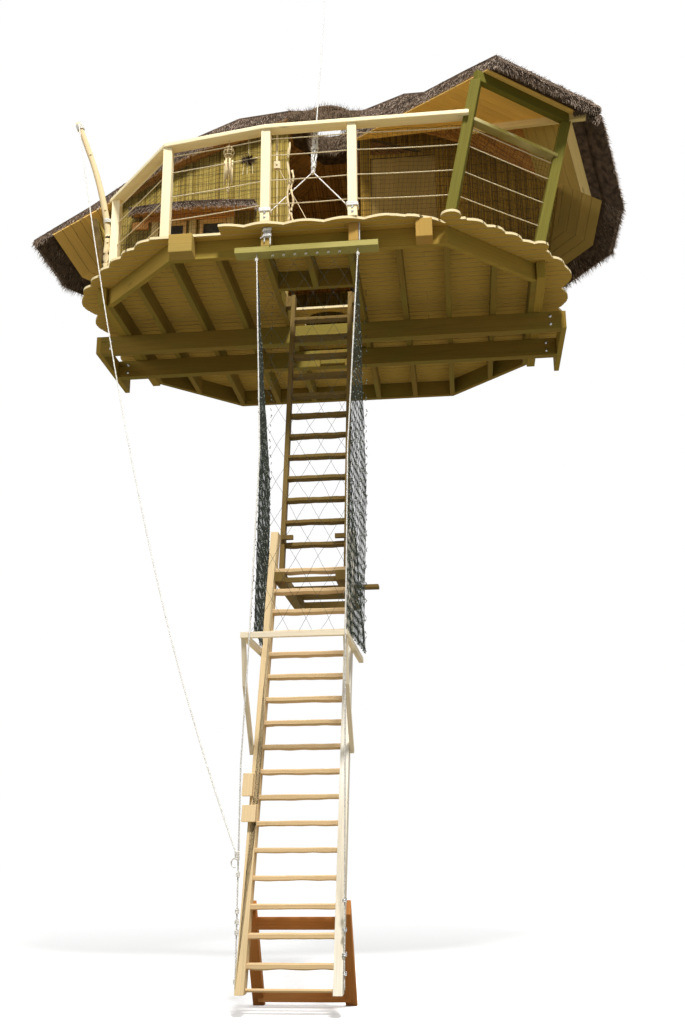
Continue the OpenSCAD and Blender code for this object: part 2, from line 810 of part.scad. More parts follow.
// Prop behind the ladder's foot: two sloping legs and two cross boards
module base_frame() {
  leg_w = 95;
  aside = 20;
  leg_x = lower_out - 32;
  foot_y = lower_y(0) + 772;
  foot_d = 70;
  reach = [740, 850];
  function back_y(h) = lower_y(h) + lower_half + fit;
  function leg_y(h) = foot_y + (back_y(reach[0]) - foot_y) * h / reach[0];
  color(brown) {
    for (x = [-leg_x, leg_x])
      translate([x + aside - leg_w / 2, 0, ground_z]) rotate([90, 0, 90]) linear_extrude(height = leg_w)
        polygon([
          [foot_y, 0], [foot_y + foot_d, 0],
          [back_y(reach[1]), reach[1]], [back_y(reach[0]), reach[0]]]);
    for (h = [80, 670])
      translate([aside - leg_x, leg_y(h) + 12, ground_z + h - 50]) cube([2 * leg_x, 28, 100]);
  }
}

// Two bearers back to the trunk, and the boards on them
module mid_landing() {
  z = ground_z + landing_h;
  front = lower_y(landing_h) - lower_half - 30;
  back = -30;
  outer = bearer_x + bearer_w / 2;
  color(wood) {
    for (x = [-bearer_x, bearer_x])
      translate([x - bearer_w / 2, front, z - 50]) cube([bearer_w, back - front, 99.7]);
    translate([-bearer_x, front + 40, z - 50]) cube([2 * bearer_x, 30, 50]);
    translate([-bearer_x, back - 60, z - 50]) cube([2 * bearer_x, 60, 99.7]);
    translate([-outer, -700, z + 49.7]) cube([2 * outer + 260, 120, 35]);
    for (y = [-560, -430, -300])
      translate([-outer, y, z + 49.7]) cube([2 * outer, 120, 35]);
  }
}

// Level frame that holds the foot of the nets in front of the ladder
module net_frame() {
  z = ground_z + net_frame_h;
  bar_back = net_front_y + net_bar / 2;
  side_back = [net_front_y + 1215, net_front_y + 1480];
  arm = 45;
  left = -lower_out - arm - fit;
  right = lower_out + fit;
  strut = [[net_front_y + 20, -15], [net_front_y + 120, -420], [lower_y(net_frame_h - 970), -970]];
  color(wood) {
    translate([left, net_front_y - net_bar / 2, z - net_bar / 2])
      cube([right + arm - left, net_bar, net_bar]);
    for (i = [0, 1]) translate([[left, right][i], 0, z]) {
      translate([0, bar_back - 1, -net_bar / 2]) cube([arm, side_back[i] - bar_back, net_bar]);
      translate([4, 0, 0]) rotate([90, 0, 90]) linear_extrude(height = arm - 8)
        polygon(concat(beside(strut, arm / 2), turned(beside(strut, -arm / 2))));
    }
  }
}

// Path of a lifeline: under the hook board, at the nets' cross rope, over the front of the
// net frame's bar, and down to the outer face of the stringer
function rope_y(z) =
  let (zn = ground_z + net_frame_h, zf = ground_z + 200,
    yn = net_front_y - net_bar / 2 - lifeline_d * 0.8 - fit)
  z > zn ? hook_y + (yn - hook_y) * (hook_z - z) / (hook_z - zn)
  : yn + (lower_y(200) - yn) * (zn - z) / (zn - zf);
function path_point(x, z) = [x, rope_y(z), z];
rope_out = lower_out + lifeline_d / 2 + fit;
net_frame_z = ground_z + net_frame_h;
cross_z = hook_z + 0.56 * (net_frame_z - hook_z);
left_path = [
  path_point(-498, hook_z), path_point(-370, cross_z), path_point(-lower_out + 40, net_frame_z),
  path_point(-rope_out, net_frame_z - 1100), path_point(-rope_out, ground_z + 200)];
right_path = [
  path_point(548, hook_z), path_point(459, cross_z), path_point(lower_out + 30, net_frame_z),
  path_point(rope_out + 12, net_frame_z - 1100), path_point(rope_out, ground_z + 200)];

// Safety ropes beside the ladder
module lifelines() {
  color(white) {
    bent_rod(left_path, lifeline_d);
    bent_rod(right_path, lifeline_d);
  }
}

// Flat three cornered piece of a side net
module net_leaf(corners) {
  half = [net_t / 2, 0, 0];
  between_sections([for (p = corners) p - half], [for (p = corners) p + half]);
}

function at_level(p, q, z) = p + (q - p) * (z - p[2]) / (q[2] - p[2]);

// Side net from the hook board to the net frame, from a lifeline back to x_back
module side_net(path, x_back, y_back) {
  step = [0, lifeline_d / 2 + 3, 0];
  foot_z = net_frame_z + net_bar / 2 + fit;
  fronts = [for (p = [path[0], path[1], at_level(path[1], path[2], foot_z)]) p + step];
  backs = [for (i = [0 : 2]) [x_back[i], y_back, fronts[i][2]]];
  color(black) for (i = [0, 1]) {
    net_leaf([fronts[i], fronts[i + 1], backs[i + 1]]);
    net_leaf([fronts[i], backs[i + 1], backs[i]]);
  }
}

module net_left() {
  x = -lower_out - 47;
  side_net(left_path, [x, x, x], net_front_y + 1380);
}

module net_right() {
  side_net(right_path, [lower_out + 146, lower_out + 118, lower_out + 90], net_front_y + 1280);
}

// Net between the lifelines, from the hooks down to the net frame
module net_front() {
  half = net_t / 2;
  side = lifeline_d / 2 + 1;
  top_z = hook_z - hook_drop - fit;
  foot_z = net_frame_z + net_bar / 2 + fit;
  lefts = [
    at_level(left_path[0], left_path[1], top_z), left_path[1],
    at_level(left_path[1], left_path[2], foot_z)];
  rights = [
    at_level(right_path[0], right_path[1], top_z), path_point(0, cross_z) + [right_path[1][0], 0, 0],
    at_level(right_path[1], right_path[2], foot_z)];
  function row(i) = [
    lefts[i] + [side, -half, 0], lefts[i] + [side, half, 0],
    rights[i] + [-side, half, 0], rights[i] + [-side, -half, 0]];
  color(black) for (i = [0, 1]) between_sections(row(i), row(i + 1));
}

gin_d = 78;
gin_x = frame[1][0] + 48 - post_w / 2 - gin_d * knot_growth / 2 - fit;
gin_y = frame[1][1] - 10;
gin_points = [
  [gin_x, gin_y, floor_z], [gin_x, gin_y, floor_z + 780],
  [gin_x - 166, gin_y - 30, floor_z + 1461], [gin_x - 419, gin_y - 80, floor_z + 2176]];

// Crooked pole on the left that the haul rope runs from
module gin_pole() {
  color(wood) bent_rod(gin_points, gin_d);
}

// Ring of a rope's tube round one point of its route
function rope_ring(points, i, d) =
  let (run = points[min(i + 1, len(points) - 1)] - points[max(i - 1, 0)],
    u = [run[1], -run[0], 0] / norm([run[0], run[1]]), v = cross(run, u) / norm(run))
  [for (k = [0 : 7]) points[i] + (u * cos(45 * k) + v * sin(45 * k)) * d / 2];

// Route of the haul rope, that hangs free past the edge of the deck
haul_route = [
  [-2850, -1009, 2465], [-2730, -1090, 1895], [-2610, -1165, 1345], [-2490, -1245, 810],
  [-2370, -1320, 290], [-2250, -1400, -215], [-2130, -1480, -700], [-2010, -1555, -1175],
  [-1890, -1635, -1630], [-1770, -1715, -2070], [-1650, -1790, -2490], [-1530, -1870, -2900],
  [-1410, -1950, -3290], [-1290, -2025, -3670], [-1170, -2105, -4030], [-1050, -2185, -4370],
  [-925, -2260, -4700], [-805, -2340, -5010], [-685, -2415, -5305], [-565, -2495, -5585],
  [-447, -2574, -5850]];

// Rope from the top of the gin pole down to the left lifeline
module haul_rope() {
  color(white) loft([for (i = [0 : len(haul_route) - 1]) rope_ring(haul_route, i, haul_d)]);
}

// Stay from above, its sleeve, and its two legs to the feet of the middle posts
module stay_rope() {
  y = front_post_y + 105;
  knot = [82, y, floor_z + 648];
  eye = [217, y, floor_z + 2910];
  foot_h = 118;
  foot_y = front_post_y + post_w / 2 - 2 * stay_d;
  color(white) {
    difference() {
      for (i = [2, 3]) rod(knot, [post_places()[i][0], foot_y, floor_z + foot_h], stay_d);
      posts(fit);
    }
    rod(knot, eye, stay_d);
    rod(knot - [0, 0, 22], [114, y, floor_z + 1149], 46);
    translate(eye + [0, 0, 36]) rotate([90, 0, 0]) rotate_extrude() translate([34, 0]) circle(d = stay_d);
  }
}

// Wooden pulley strapped behind the rail, with its two cords tied down to the deck
module pulley() {
  strap_y = front_post_y + rail_w / 2 + fit;
  body_x = mid_post_x[0] + 70;
  body_z = floor_z + 713;
  cord = 8;
  y = strap_y + 30;
  color(wood) {
    translate([body_x, strap_y + 10, body_z]) cube([64, 40, 85]);
    translate([body_x + 22, strap_y, body_z + 40]) cube([20, 11, rail_z - 8 - body_z - 40]);
    rod([body_x + 38, y, floor_z + fit], [body_x + 30, y, body_z + 10], cord);
    rod([body_x + 380, y, floor_z + cord], [body_x + 44, y, body_z + 10], cord);
  }
}

main_beam_front();
main_beam_back();
end_planks();
trunk_pads();
joists();
front_rims();
rear_rims();
side_timbers();
hatch_header();
deck_front();
deck_left();
deck_right();
deck_back();
deck_middle();
post_blocks();
railing_posts();
leaning_posts();
header_beam();
top_rails();
rail_ropes();
hook_board();
wall_front_left();
wall_front_right();
door_leaf();
window_frames();
window_panes();
window_canopy();
wall_left();
wall_right();
wall_back();
side_screens();
soffit_boards();
thatch_left();
thatch_back();
thatch_right();
thatch_hood();
thatch_collar();
lower_stringers();
lower_treads();
upper_stringers();
upper_treads();
base_frame();
mid_landing();
net_frame();
net_left();
net_right();
net_front();
lifelines();
haul_rope();
gin_pole();
stay_rope();
pulley();
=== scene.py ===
"""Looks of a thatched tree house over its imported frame: sawn timbers and deck boards, split reed walls,
heather thatch, laid ropes and knotted nets. Metres, +Z up, the ladder on -Y."""
import bpy
import bmesh
import math
import random
import numpy as np
from mathutils import Matrix, Vector, noise
from mathutils.bvhtree import BVHTree


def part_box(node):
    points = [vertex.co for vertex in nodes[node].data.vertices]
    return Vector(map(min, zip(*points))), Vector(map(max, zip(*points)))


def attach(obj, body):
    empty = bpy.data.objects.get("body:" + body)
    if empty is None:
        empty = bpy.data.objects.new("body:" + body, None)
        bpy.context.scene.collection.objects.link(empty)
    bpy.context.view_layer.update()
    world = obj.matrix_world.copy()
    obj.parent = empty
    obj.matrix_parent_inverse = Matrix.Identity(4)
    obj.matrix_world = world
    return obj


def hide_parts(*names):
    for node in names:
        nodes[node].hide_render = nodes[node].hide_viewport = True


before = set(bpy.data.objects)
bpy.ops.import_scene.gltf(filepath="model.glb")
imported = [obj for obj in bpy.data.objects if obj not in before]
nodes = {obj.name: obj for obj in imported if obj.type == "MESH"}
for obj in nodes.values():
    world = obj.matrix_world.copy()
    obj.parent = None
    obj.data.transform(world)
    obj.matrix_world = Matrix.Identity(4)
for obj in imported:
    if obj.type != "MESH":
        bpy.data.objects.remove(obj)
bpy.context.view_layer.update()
rng = random.Random(11)
# Without a seed, the clock would move noise_vector's field in every run
noise.seed_set(7)

deck_bottom, deck_top = (c.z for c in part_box("deck_front"))
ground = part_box("base_frame")[0].z
blocks_face, blocks_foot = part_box("post_blocks")[0].yz
UP = Vector((0, 0, 1))
# Plan places of the upright posts on the left and in the middle, and of the leaning posts' feet
LEFT_POSTS = ((-2.362, -0.887), (-1.505, -1.797))
MIDDLE_POSTS = ((-0.400, -1.985), (0.507, -1.985))
LEANING_FEET = ((1.500, -1.930), (2.427, -1.204))


# Camera at the photograph's viewpoint, found from the posts, beams and ladder

CAMERA_PLACE = (1.4438, -11.8432, -5.8302)
CAMERA_PITCH, CAMERA_YAW, CAMERA_ROLL = 0.298, 0.1077, -0.0076
CAMERA_LENS = 38.86


def photo_camera():
    pitch, yaw, roll = CAMERA_PITCH, CAMERA_YAW, CAMERA_ROLL
    ahead = Vector((-math.sin(yaw) * math.cos(pitch), math.cos(yaw) * math.cos(pitch), math.sin(pitch)))
    side = Vector((math.cos(yaw), math.sin(yaw), 0))
    up = side.cross(ahead)
    right = side * math.cos(roll) + up * math.sin(roll)
    top = up * math.cos(roll) - side * math.sin(roll)
    data = bpy.data.cameras.new("camera")
    data.sensor_fit = "VERTICAL"
    data.sensor_height = 36
    data.lens = CAMERA_LENS
    data.clip_end = 200
    camera = bpy.data.objects.new("camera", data)
    turned = Matrix((right, top, -ahead)).transposed().to_4x4()
    camera.matrix_world = Matrix.Translation(CAMERA_PLACE) @ turned
    bpy.context.scene.collection.objects.link(camera)
    bpy.context.scene.camera = camera


photo_camera()


# Node materials

# Specular levels of dull stuff and of glass, and roughness of timber and of reeds and twigs
DULL, SHINY = 0.10, 0.6
WOOD_ROUGH, STALK_ROUGH = 0.78, 0.85
BLACK, WHITE = (0, 0, 0), (1, 1, 1)


class Shader:
    """A principled material under construction."""

    def __init__(self, name, roughness):
        self.material = bpy.data.materials.new(name)
        self.material.use_nodes = True
        self.tree = self.material.node_tree
        self.surface = self.tree.nodes["Principled BSDF"]
        self.surface.inputs["Roughness"].default_value = roughness
        self.surface.inputs["Specular IOR Level"].default_value = DULL

    def node(self, kind, inputs=(), **settings):
        made = self.tree.nodes.new("ShaderNode" + kind)
        for key, value in settings.items():
            setattr(made, key, value)
        for key, value in dict(inputs).items():
            if isinstance(value, bpy.types.NodeSocket):
                self.tree.links.new(value, made.inputs[key])
            else:
                made.inputs[key].default_value = value
        return made

    def math(self, operation, a, b=0.0):
        return self.node("Math", {0: a, 1: b}, operation=operation).outputs[0]

    def times(self, a, b):
        return self.math("MULTIPLY", a, b)

    def mix(self, share, a, b):
        made = self.node("Mix", {"Factor": share}, data_type="RGBA")
        for socket, value in ((made.inputs[6], a), (made.inputs[7], b)):
            if isinstance(value, bpy.types.NodeSocket):
                self.tree.links.new(value, socket)
            else:
                socket.default_value = (*value, 1)
        return made.outputs[2]

    def ramp(self, factor, stops):
        made = self.node("ValToRGB", {"Fac": factor})
        marks = made.color_ramp.elements
        while len(marks) < len(stops):
            marks.new(0.5)
        for mark, (place, colour) in zip(marks, stops):
            mark.position = place
            mark.color = (*colour, 1)
        return made.outputs["Color"]

    def noise(self, vector, scale, detail=4, distortion=0.0):
        inputs = {"Vector": vector, "Scale": scale, "Detail": detail, "Distortion": distortion}
        return self.node("TexNoise", inputs).outputs["Fac"]

    def coordinate(self, kind):
        return self.node("TexCoord").outputs[kind]

    def part_of(self, vector, axis):
        return self.node("SeparateXYZ", {0: vector}).outputs[axis]

    def stretched(self, vector, scale):
        return self.node("Mapping", {"Vector": vector, "Scale": scale}).outputs["Vector"]

    def colour(self, socket):
        self.tree.links.new(socket, self.surface.inputs["Base Color"])

    def bump(self, height, strength, distance):
        made = self.node("Bump", {"Height": height, "Strength": strength, "Distance": distance})
        self.tree.links.new(made.outputs["Normal"], self.surface.inputs["Normal"])


def shade(colour, by):
    return tuple(min(1.0, c * by) for c in colour)


# Pieces that are built here carry a map: u runs along the grain in metres, v across it,
# and every piece starts on its own multiple of this
PIECE_STEP = 10.0


def piece_random(shader, vector):
    number = shader.math("FLOOR", shader.math("DIVIDE", shader.part_of(vector, "Y"), PIECE_STEP))
    return shader.node("TexWhiteNoise", {"W": number}, noise_dimensions="1D").outputs["Value"]


def wood(name, colour, stain, stain_share, contrast=1.0, spread=0.45, ends=None, beyond=None):
    """Sawn softwood: fibres and growth rings along the grain, knots, a stain in patches, and a tone for each
    piece. Its upright faces may take the paler colour given as ends, a painted highlight of sunlit edges,
    and all that lies beyond a place along X may take another colour."""
    s = Shader(name, WOOD_ROUGH)
    at = s.coordinate("UV")
    fibre = s.noise(s.stretched(at, (2.2, 90, 1)), 1.0, 6, 0.3)
    rings = s.noise(s.stretched(at, (0.5, 14, 1)), 1.0, 3, 1.4)
    wave = {"Vector": s.stretched(at, (0.10, 1, 1)), "Scale": 13.0, "Distortion": 7.0, "Detail": 2.0,
            "Detail Scale": 0.7}
    band = s.node("TexWave", wave, wave_type="BANDS", bands_direction="Y").outputs["Fac"]
    low, high = 1 - 0.34 * contrast, 1 + 0.16 * contrast
    base = s.ramp(s.math("ADD", s.times(fibre, 0.55), s.times(rings, 0.45)), [
        (0.30, shade(colour, low)), (0.50, colour), (0.70, shade(colour, high))])
    base = s.mix(s.times(band, 0.30 * contrast), base, shade(colour, 0.62))
    base = s.mix(s.times(piece_random(s, at), spread), base, shade(colour, 0.70))
    if beyond:
        least, other = beyond
        inside = s.math("GREATER_THAN", s.part_of(s.node("NewGeometry").outputs["Position"], "X"), least)
        base = s.mix(inside, base, s.mix(fibre, shade(other, 0.6), other))
    patch = s.ramp(s.noise(s.stretched(at, (0.9, 3.0, 1)), 1.0, 4, 0.6), [(0.42, BLACK), (0.62, WHITE)])
    base = s.mix(s.times(patch, stain_share), base, stain)
    eyes = s.node("TexVoronoi", {"Vector": s.stretched(at, (1.5, 6.5, 1)), "Scale": 1.0}).outputs["Distance"]
    knots = s.ramp(eyes, [(0.045, WHITE), (0.10, BLACK)])
    base = s.mix(s.times(knots, 0.65), base, shade(colour, 0.36))
    # Painted highlight: upright faces, such as the boards' edges, turn towards a paler colour as if sunlit
    if ends:
        level = s.part_of(s.node("NewGeometry").outputs["True Normal"], "Z")
        lit_edge = s.math("LESS_THAN", s.math("ABSOLUTE", level), 0.4)
        base = s.mix(s.times(lit_edge, 0.8), base, s.mix(fibre, shade(ends, 0.7), ends))
    s.colour(base)
    s.bump(s.math("ADD", fibre, s.times(rings, 0.6)), 0.55, 0.003)
    return s.material


def strips(name, colours, tips=None):
    """Reeds, straws or twigs: a tone for each piece out of the colours, streaks along it, and paler tips."""
    s = Shader(name, STALK_ROUGH)
    at = s.coordinate("UV")
    base = s.ramp(piece_random(s, at), [(i / (len(colours) - 1), c) for i, c in enumerate(colours)])
    streak = s.noise(s.stretched(at, (6.0, 260, 1)), 1.0, 3, 0.2)
    base = s.mix(s.times(streak, 0.55), base, shade(colours[0], 0.6))
    # Patches lean to the last colour; for the heather that colour is a painted highlight
    patch = s.noise(s.coordinate("Object"), 1.7, 3)
    base = s.mix(s.ramp(patch, [(0.40, BLACK), (0.75, (0.5, 0.5, 0.5))]), base, shade(colours[-1], 0.9))
    if tips:
        base = s.mix(s.ramp(s.part_of(at, "X"), [(0.55, BLACK), (1.0, (0.8, 0.8, 0.8))]), base, tips)
    s.colour(base)
    s.bump(streak, 0.3, 0.002)
    return s.material


def solid(name, dark, light, scale, roughness=0.8, bump=0.4, metallic=0.0):
    """Plain stuff with a mottle of its own, placed by the object's own coordinates."""
    s = Shader(name, roughness)
    mottle = s.noise(s.coordinate("Object"), scale, 5, 0.3)
    s.colour(s.ramp(mottle, [(0.35, dark), (0.65, light)]))
    s.surface.inputs["Metallic"].default_value = metallic
    s.bump(mottle, bump, 0.002)
    return s.material


def glass(name):
    s = Shader(name, 0.06)
    tint = s.noise(s.coordinate("Object"), 3.0)
    s.colour(s.ramp(tint, [(0.3, (0.030, 0.035, 0.040)), (0.7, (0.075, 0.085, 0.090))]))
    s.surface.inputs["Specular IOR Level"].default_value = SHINY
    return s.material


OLIVE = (0.23, 0.19, 0.032)
BEAM = wood("beam_timber", (0.26, 0.165, 0.030), (0.20, 0.17, 0.030), 0.6)
FRAME = wood("frame_timber", (0.40, 0.26, 0.045), OLIVE, 0.55)
BLOCK = wood("block_timber", (0.44, 0.29, 0.072), (0.34, 0.25, 0.06), 0.5, beyond=(0.0, (0.58, 0.31, 0.07)))
# Deck boards; ends paints sunlight on their upright edges
DECK = wood("deck_boards", (0.60, 0.37, 0.075), (0.40, 0.34, 0.050), 0.45, contrast=1.1, spread=0.8,
            ends=(0.95, 0.82, 0.52))
# Rails and posts; beyond X = 1.75, past the first leaning post, the rail is dark olive, painted shade under
# the hood
RAIL = wood("rail_timber", (0.95, 0.82, 0.54), (0.84, 0.74, 0.42), 0.4, contrast=0.5,
            beyond=(1.75, (0.27, 0.22, 0.045)))
# Leaning posts and header beam: dark olive, painted shade under the roof
SHADED_LEANER = wood("shaded_leaning_timber", (0.17, 0.145, 0.022), (0.13, 0.125, 0.018), 0.5, contrast=0.9)
HOOKS = wood("hook_timber", (0.44, 0.38, 0.12), OLIVE, 0.5, contrast=0.6)
LADDER = wood("ladder_timber", (0.72, 0.50, 0.27), (0.56, 0.44, 0.22), 0.35, contrast=0.8)
STRINGER = wood("stringer_timber", (0.92, 0.80, 0.60), (0.80, 0.68, 0.44), 0.35, contrast=0.6)
# Lower stringers: beyond X = 0 the right one takes a pale colour, painted sunlight
STRINGERS_SUNLIT_RIGHT = wood("stringers_sunlit_right", (0.72, 0.54, 0.30), (0.60, 0.47, 0.25), 0.35, contrast=0.8,
             beyond=(0.0, (0.97, 0.91, 0.78)))
LADDER_BROWN = wood("ladder_brown", (0.20, 0.125, 0.036), (0.145, 0.11, 0.027), 0.4)
BASE = wood("base_timber", (0.52, 0.20, 0.05), (0.60, 0.32, 0.12), 0.3)
SOFFIT = wood("soffit_boards", (0.93, 0.60, 0.17), (0.74, 0.50, 0.12), 0.3, contrast=0.6)
# Boards of the right eaves, a darker copy of the soffit boards: painted shade
SHADED_EAVES = wood("shaded_eave_boards", (0.48, 0.33, 0.095), (0.36, 0.27, 0.07), 0.4, contrast=0.7)
FASCIA = wood("fascia_boards", (0.88, 0.70, 0.34), (0.62, 0.52, 0.20), 0.4, contrast=0.6)
DOOR = wood("door_boards", (0.36, 0.24, 0.07), (0.25, 0.18, 0.05), 0.4)
# Near black: painted shade in the gaps between the deck boards
SEAM_SHADE = wood("board_seam_shade", (0.07, 0.045, 0.014), (0.05, 0.04, 0.012), 0.4)
WINDOW = wood("window_wood", (0.82, 0.42, 0.13), (0.70, 0.38, 0.12), 0.3)
SASH = wood("window_sash", (0.94, 0.66, 0.31), (0.84, 0.56, 0.24), 0.3)
POLE = wood("pole_wood", (0.74, 0.58, 0.34), (0.60, 0.52, 0.28), 0.4, contrast=0.6)
REED = strips("reed_screen", [
    (0.20, 0.13, 0.026), (0.42, 0.295, 0.066), (0.54, 0.42, 0.12), (0.34, 0.255, 0.05)])
BROWN_REED = strips("brown_reed", [
    (0.19, 0.11, 0.018), (0.40, 0.24, 0.035), (0.52, 0.33, 0.055), (0.30, 0.18, 0.026)])
CEILING_REED = strips("ceiling_reed", [
    (0.34, 0.16, 0.045), (0.60, 0.31, 0.08), (0.72, 0.41, 0.12), (0.46, 0.22, 0.06)])
# Heather: the last, pale colour is painted highlight, glints on the twigs; the pale tips are partly own
# colour, partly painted highlight
HEATHER = strips("heather_twigs", [
    (0.090, 0.058, 0.038), (0.20, 0.135, 0.088), (0.36, 0.255, 0.17), (0.13, 0.09, 0.058),
    (0.72, 0.58, 0.48)],
    tips=(0.52, 0.42, 0.32))
STRAW = strips("straw_stalks", [
    (0.10, 0.065, 0.04), (0.20, 0.135, 0.085), (0.30, 0.22, 0.14)], tips=(0.38, 0.29, 0.19))
HEATHER_CORE = solid("thatch_core", (0.040, 0.027, 0.019), (0.11, 0.075, 0.052), 14.0, 0.95)
STRAW_CORE = solid("straw_core", (0.06, 0.04, 0.026), (0.15, 0.10, 0.065), 18.0, 0.95)
REED_CORE = solid("reed_core", (0.08, 0.052, 0.018), (0.15, 0.10, 0.035), 9.0, 0.95)
BOARD_BACKS = solid("board_backs", (0.10, 0.055, 0.02), (0.20, 0.11, 0.04), 8.0)
ROPE = solid("white_rope", (0.58, 0.55, 0.49), (0.86, 0.84, 0.79), 60.0, 0.8)
STAY = solid("stay_rope", (0.80, 0.79, 0.76), (0.96, 0.95, 0.93), 60.0, 0.8)
CORD = solid("tan_cord", (0.60, 0.49, 0.30), (0.80, 0.70, 0.48), 80.0, 0.85)
NET = solid("net_cord", (0.016, 0.018, 0.015), (0.055, 0.064, 0.050), 50.0, 0.9)
KNOTS = solid("net_knots", (0.10, 0.11, 0.09), (0.30, 0.32, 0.27), 50.0, 0.8)
STEEL = solid("zinc_steel", (0.30, 0.30, 0.29), (0.52, 0.52, 0.50), 40.0, 0.42, 0.1, 0.9)
PANE = glass("window_glass")


# Meshes

def oblong(u0, u1, v0, v1):
    """Map of one face's corners, that follow the ring before they follow the path."""
    return [(u0, v0), (u0, v1), (u1, v1), (u1, v0)]


class Heap:
    """Gathers loose pieces into one mesh, each on its own place of the grain map."""

    def __init__(self):
        self.verts, self.faces, self.uvs, self.total, self.pieces = [], [], [], 0, 0

    def add(self, verts, faces, uvs):
        """verts (n, 3), faces lists of indices, uvs one (u, v) for each corner of each face in turn."""
        shift = self.pieces * PIECE_STEP + 2.0
        self.faces.extend(tuple(i + self.total for i in f) for f in faces)
        self.uvs.extend((u, v + shift) for u, v in uvs)
        self.verts.extend(map(tuple, verts))
        self.total += len(verts)
        self.pieces += 1

    def sweep(self, path, section):
        """A closed tube through the path's points; section(i) gives its ring of points there."""
        rings = [section(i) for i in range(len(path))]
        n = len(rings[0])
        run = [0.0]
        for a, b in zip(path, path[1:]):
            run.append(run[-1] + (Vector(b) - Vector(a)).length)
        girth = [0.0]
        for a, b in zip(rings[0], [*rings[0][1:], rings[0][0]]):
            girth.append(girth[-1] + (Vector(b) - Vector(a)).length)
        verts = [p for ring in rings for p in ring]
        faces, uvs = [], []
        for i in range(len(rings) - 1):
            for k in range(n):
                j = (k + 1) % n
                faces.append((i * n + k, i * n + j, (i + 1) * n + j, (i + 1) * n + k))
                uvs += oblong(run[i], run[i + 1], girth[k], girth[k + 1])
        faces += [tuple(range(n))[::-1], tuple(range(len(verts) - n, len(verts)))]
        uvs += [(0, g) for g in girth[:n]][::-1] + [(run[-1], g) for g in girth[:n]]
        self.add(verts, faces, uvs)

    def piece(self, name, material, slot, smooth=False, stands_for=()):
        mesh = bpy.data.meshes.new(name)
        mesh.from_pydata(self.verts, [], self.faces)
        layer = mesh.uv_layers.new(name="grain")
        layer.data.foreach_set("uv", np.array(self.uvs, np.float32).ravel())
        if smooth:
            mesh.shade_smooth()
        return settle(bpy.data.objects.new(name, mesh), material, slot, stands_for)


def dress(piece, material):
    """Gives a piece, or a CAD node that stays as it is, one material."""
    piece.data.materials.clear()
    piece.data.materials.append(material)


def settle(piece, material, slot, stands_for=()):
    """Puts a finished piece in the scene, on the one body there is."""
    bpy.context.scene.collection.objects.link(piece)
    dress(piece, material)
    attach(piece, "root")
    if stands_for:
        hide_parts(*stands_for)
    return piece


def across_of(direction, up=UP):
    """Two unit vectors square to a direction, the first level where it can be."""
    side = direction.cross(up)
    if side.length < 1e-4:
        side = Vector((1, 0, 0))
    side.normalize()
    return side, side.cross(direction).normalized()


def stick(heap, p, q, width, height, chamfer, up=UP):
    """A straight squared piece of timber from p to q, with its edges taken off."""
    p, q = Vector(p), Vector(q)
    along = (q - p).normalized()
    side, top = across_of(along, up)
    chamfer = min(chamfer, width / 3, height / 3)

    def ring(centre, inset):
        w, h, c = width / 2 - inset, height / 2 - inset, chamfer
        corners = [
            (-w, -h + c), (-w, h - c), (-w + c, h), (w - c, h),
            (w, h - c), (w, -h + c), (w - c, -h), (-w + c, -h)]
        return [centre + side * a + top * b for a, b in corners]
    stops = [(0, chamfer), (chamfer, 0), ((q - p).length - chamfer, 0), ((q - p).length, chamfer)]
    path = [p + along * s for s, _ in stops]
    heap.sweep(path, lambda i: ring(path[i], stops[i][1]))


def round_ring(centre, along, radius, sides):
    side, top = across_of(along)
    return [centre + (side * math.cos(a) + top * math.sin(a)) * radius
            for a in (math.tau * k / sides for k in range(sides))]


def tube(heap, path, radius, sides=6):
    """A round tube through points; radius is a number or one for each point."""
    path = [Vector(p) for p in path]
    size = radius if isinstance(radius, (list, tuple)) else [radius] * len(path)

    def section(i):
        a, b = path[max(i - 1, 0)], path[min(i + 1, len(path) - 1)]
        return round_ring(path[i], (b - a).normalized(), size[i], sides)
    heap.sweep(path, section)


def resampled(path, step):
    """Points along straight runs between the path's points, about a step apart."""
    out = [Vector(path[0])]
    for a, b in zip(path, path[1:]):
        a, b = Vector(a), Vector(b)
        count = max(1, round((b - a).length / step))
        out += [a.lerp(b, (k + 1) / count) for k in range(count)]
    return out


def laid_rope(heap, path, diameter, sides=4, steps=5):
    """Three strands twisted round each other, with so many points for each turn of the twist."""
    pitch = diameter * 4.2
    line = resampled(path, pitch / steps)
    strand = diameter * 0.29
    for s in range(3):
        centres = []
        for i, p in enumerate(line):
            a, b = line[max(i - 1, 0)], line[min(i + 1, len(line) - 1)]
            side, top = across_of((b - a).normalized())
            angle = math.tau * (i / steps + s / 3)
            centres.append(p + (side * math.cos(angle) + top * math.sin(angle)) * (diameter / 2 - strand))
        tube(heap, centres, strand, sides)


def smoothed(path, parts):
    """A smooth curve through the path's points, each stretch in so many parts."""
    path = [Vector(p) for p in path]
    out = [path[0]]
    for i in range(len(path) - 1):
        a, b, c, d = path[max(i - 1, 0)], path[i], path[i + 1], path[min(i + 2, len(path) - 1)]
        for k in range(1, parts + 1):
            t = k / parts
            out.append(b + (c - a) * (t / 2) + (a * 2 - b * 5 + c * 4 - d) * (t * t / 2)
                       + (b * 3 - a - c * 3 + d) * (t ** 3 / 2))
    return out


def coils(heap, centre, along, radius, turns, diameter):
    """Turns of rope round something, from end to end about the centre."""
    along = Vector(along).normalized()
    side, top = across_of(along)
    steps = turns * 14
    path = []
    for k in range(steps + 1):
        angle = math.tau * turns * k / steps
        rise = (k / steps - 0.5) * turns * diameter
        path.append(Vector(centre) + along * rise + (side * math.cos(angle) + top * math.sin(angle)) * radius)
    tube(heap, path, diameter / 2)


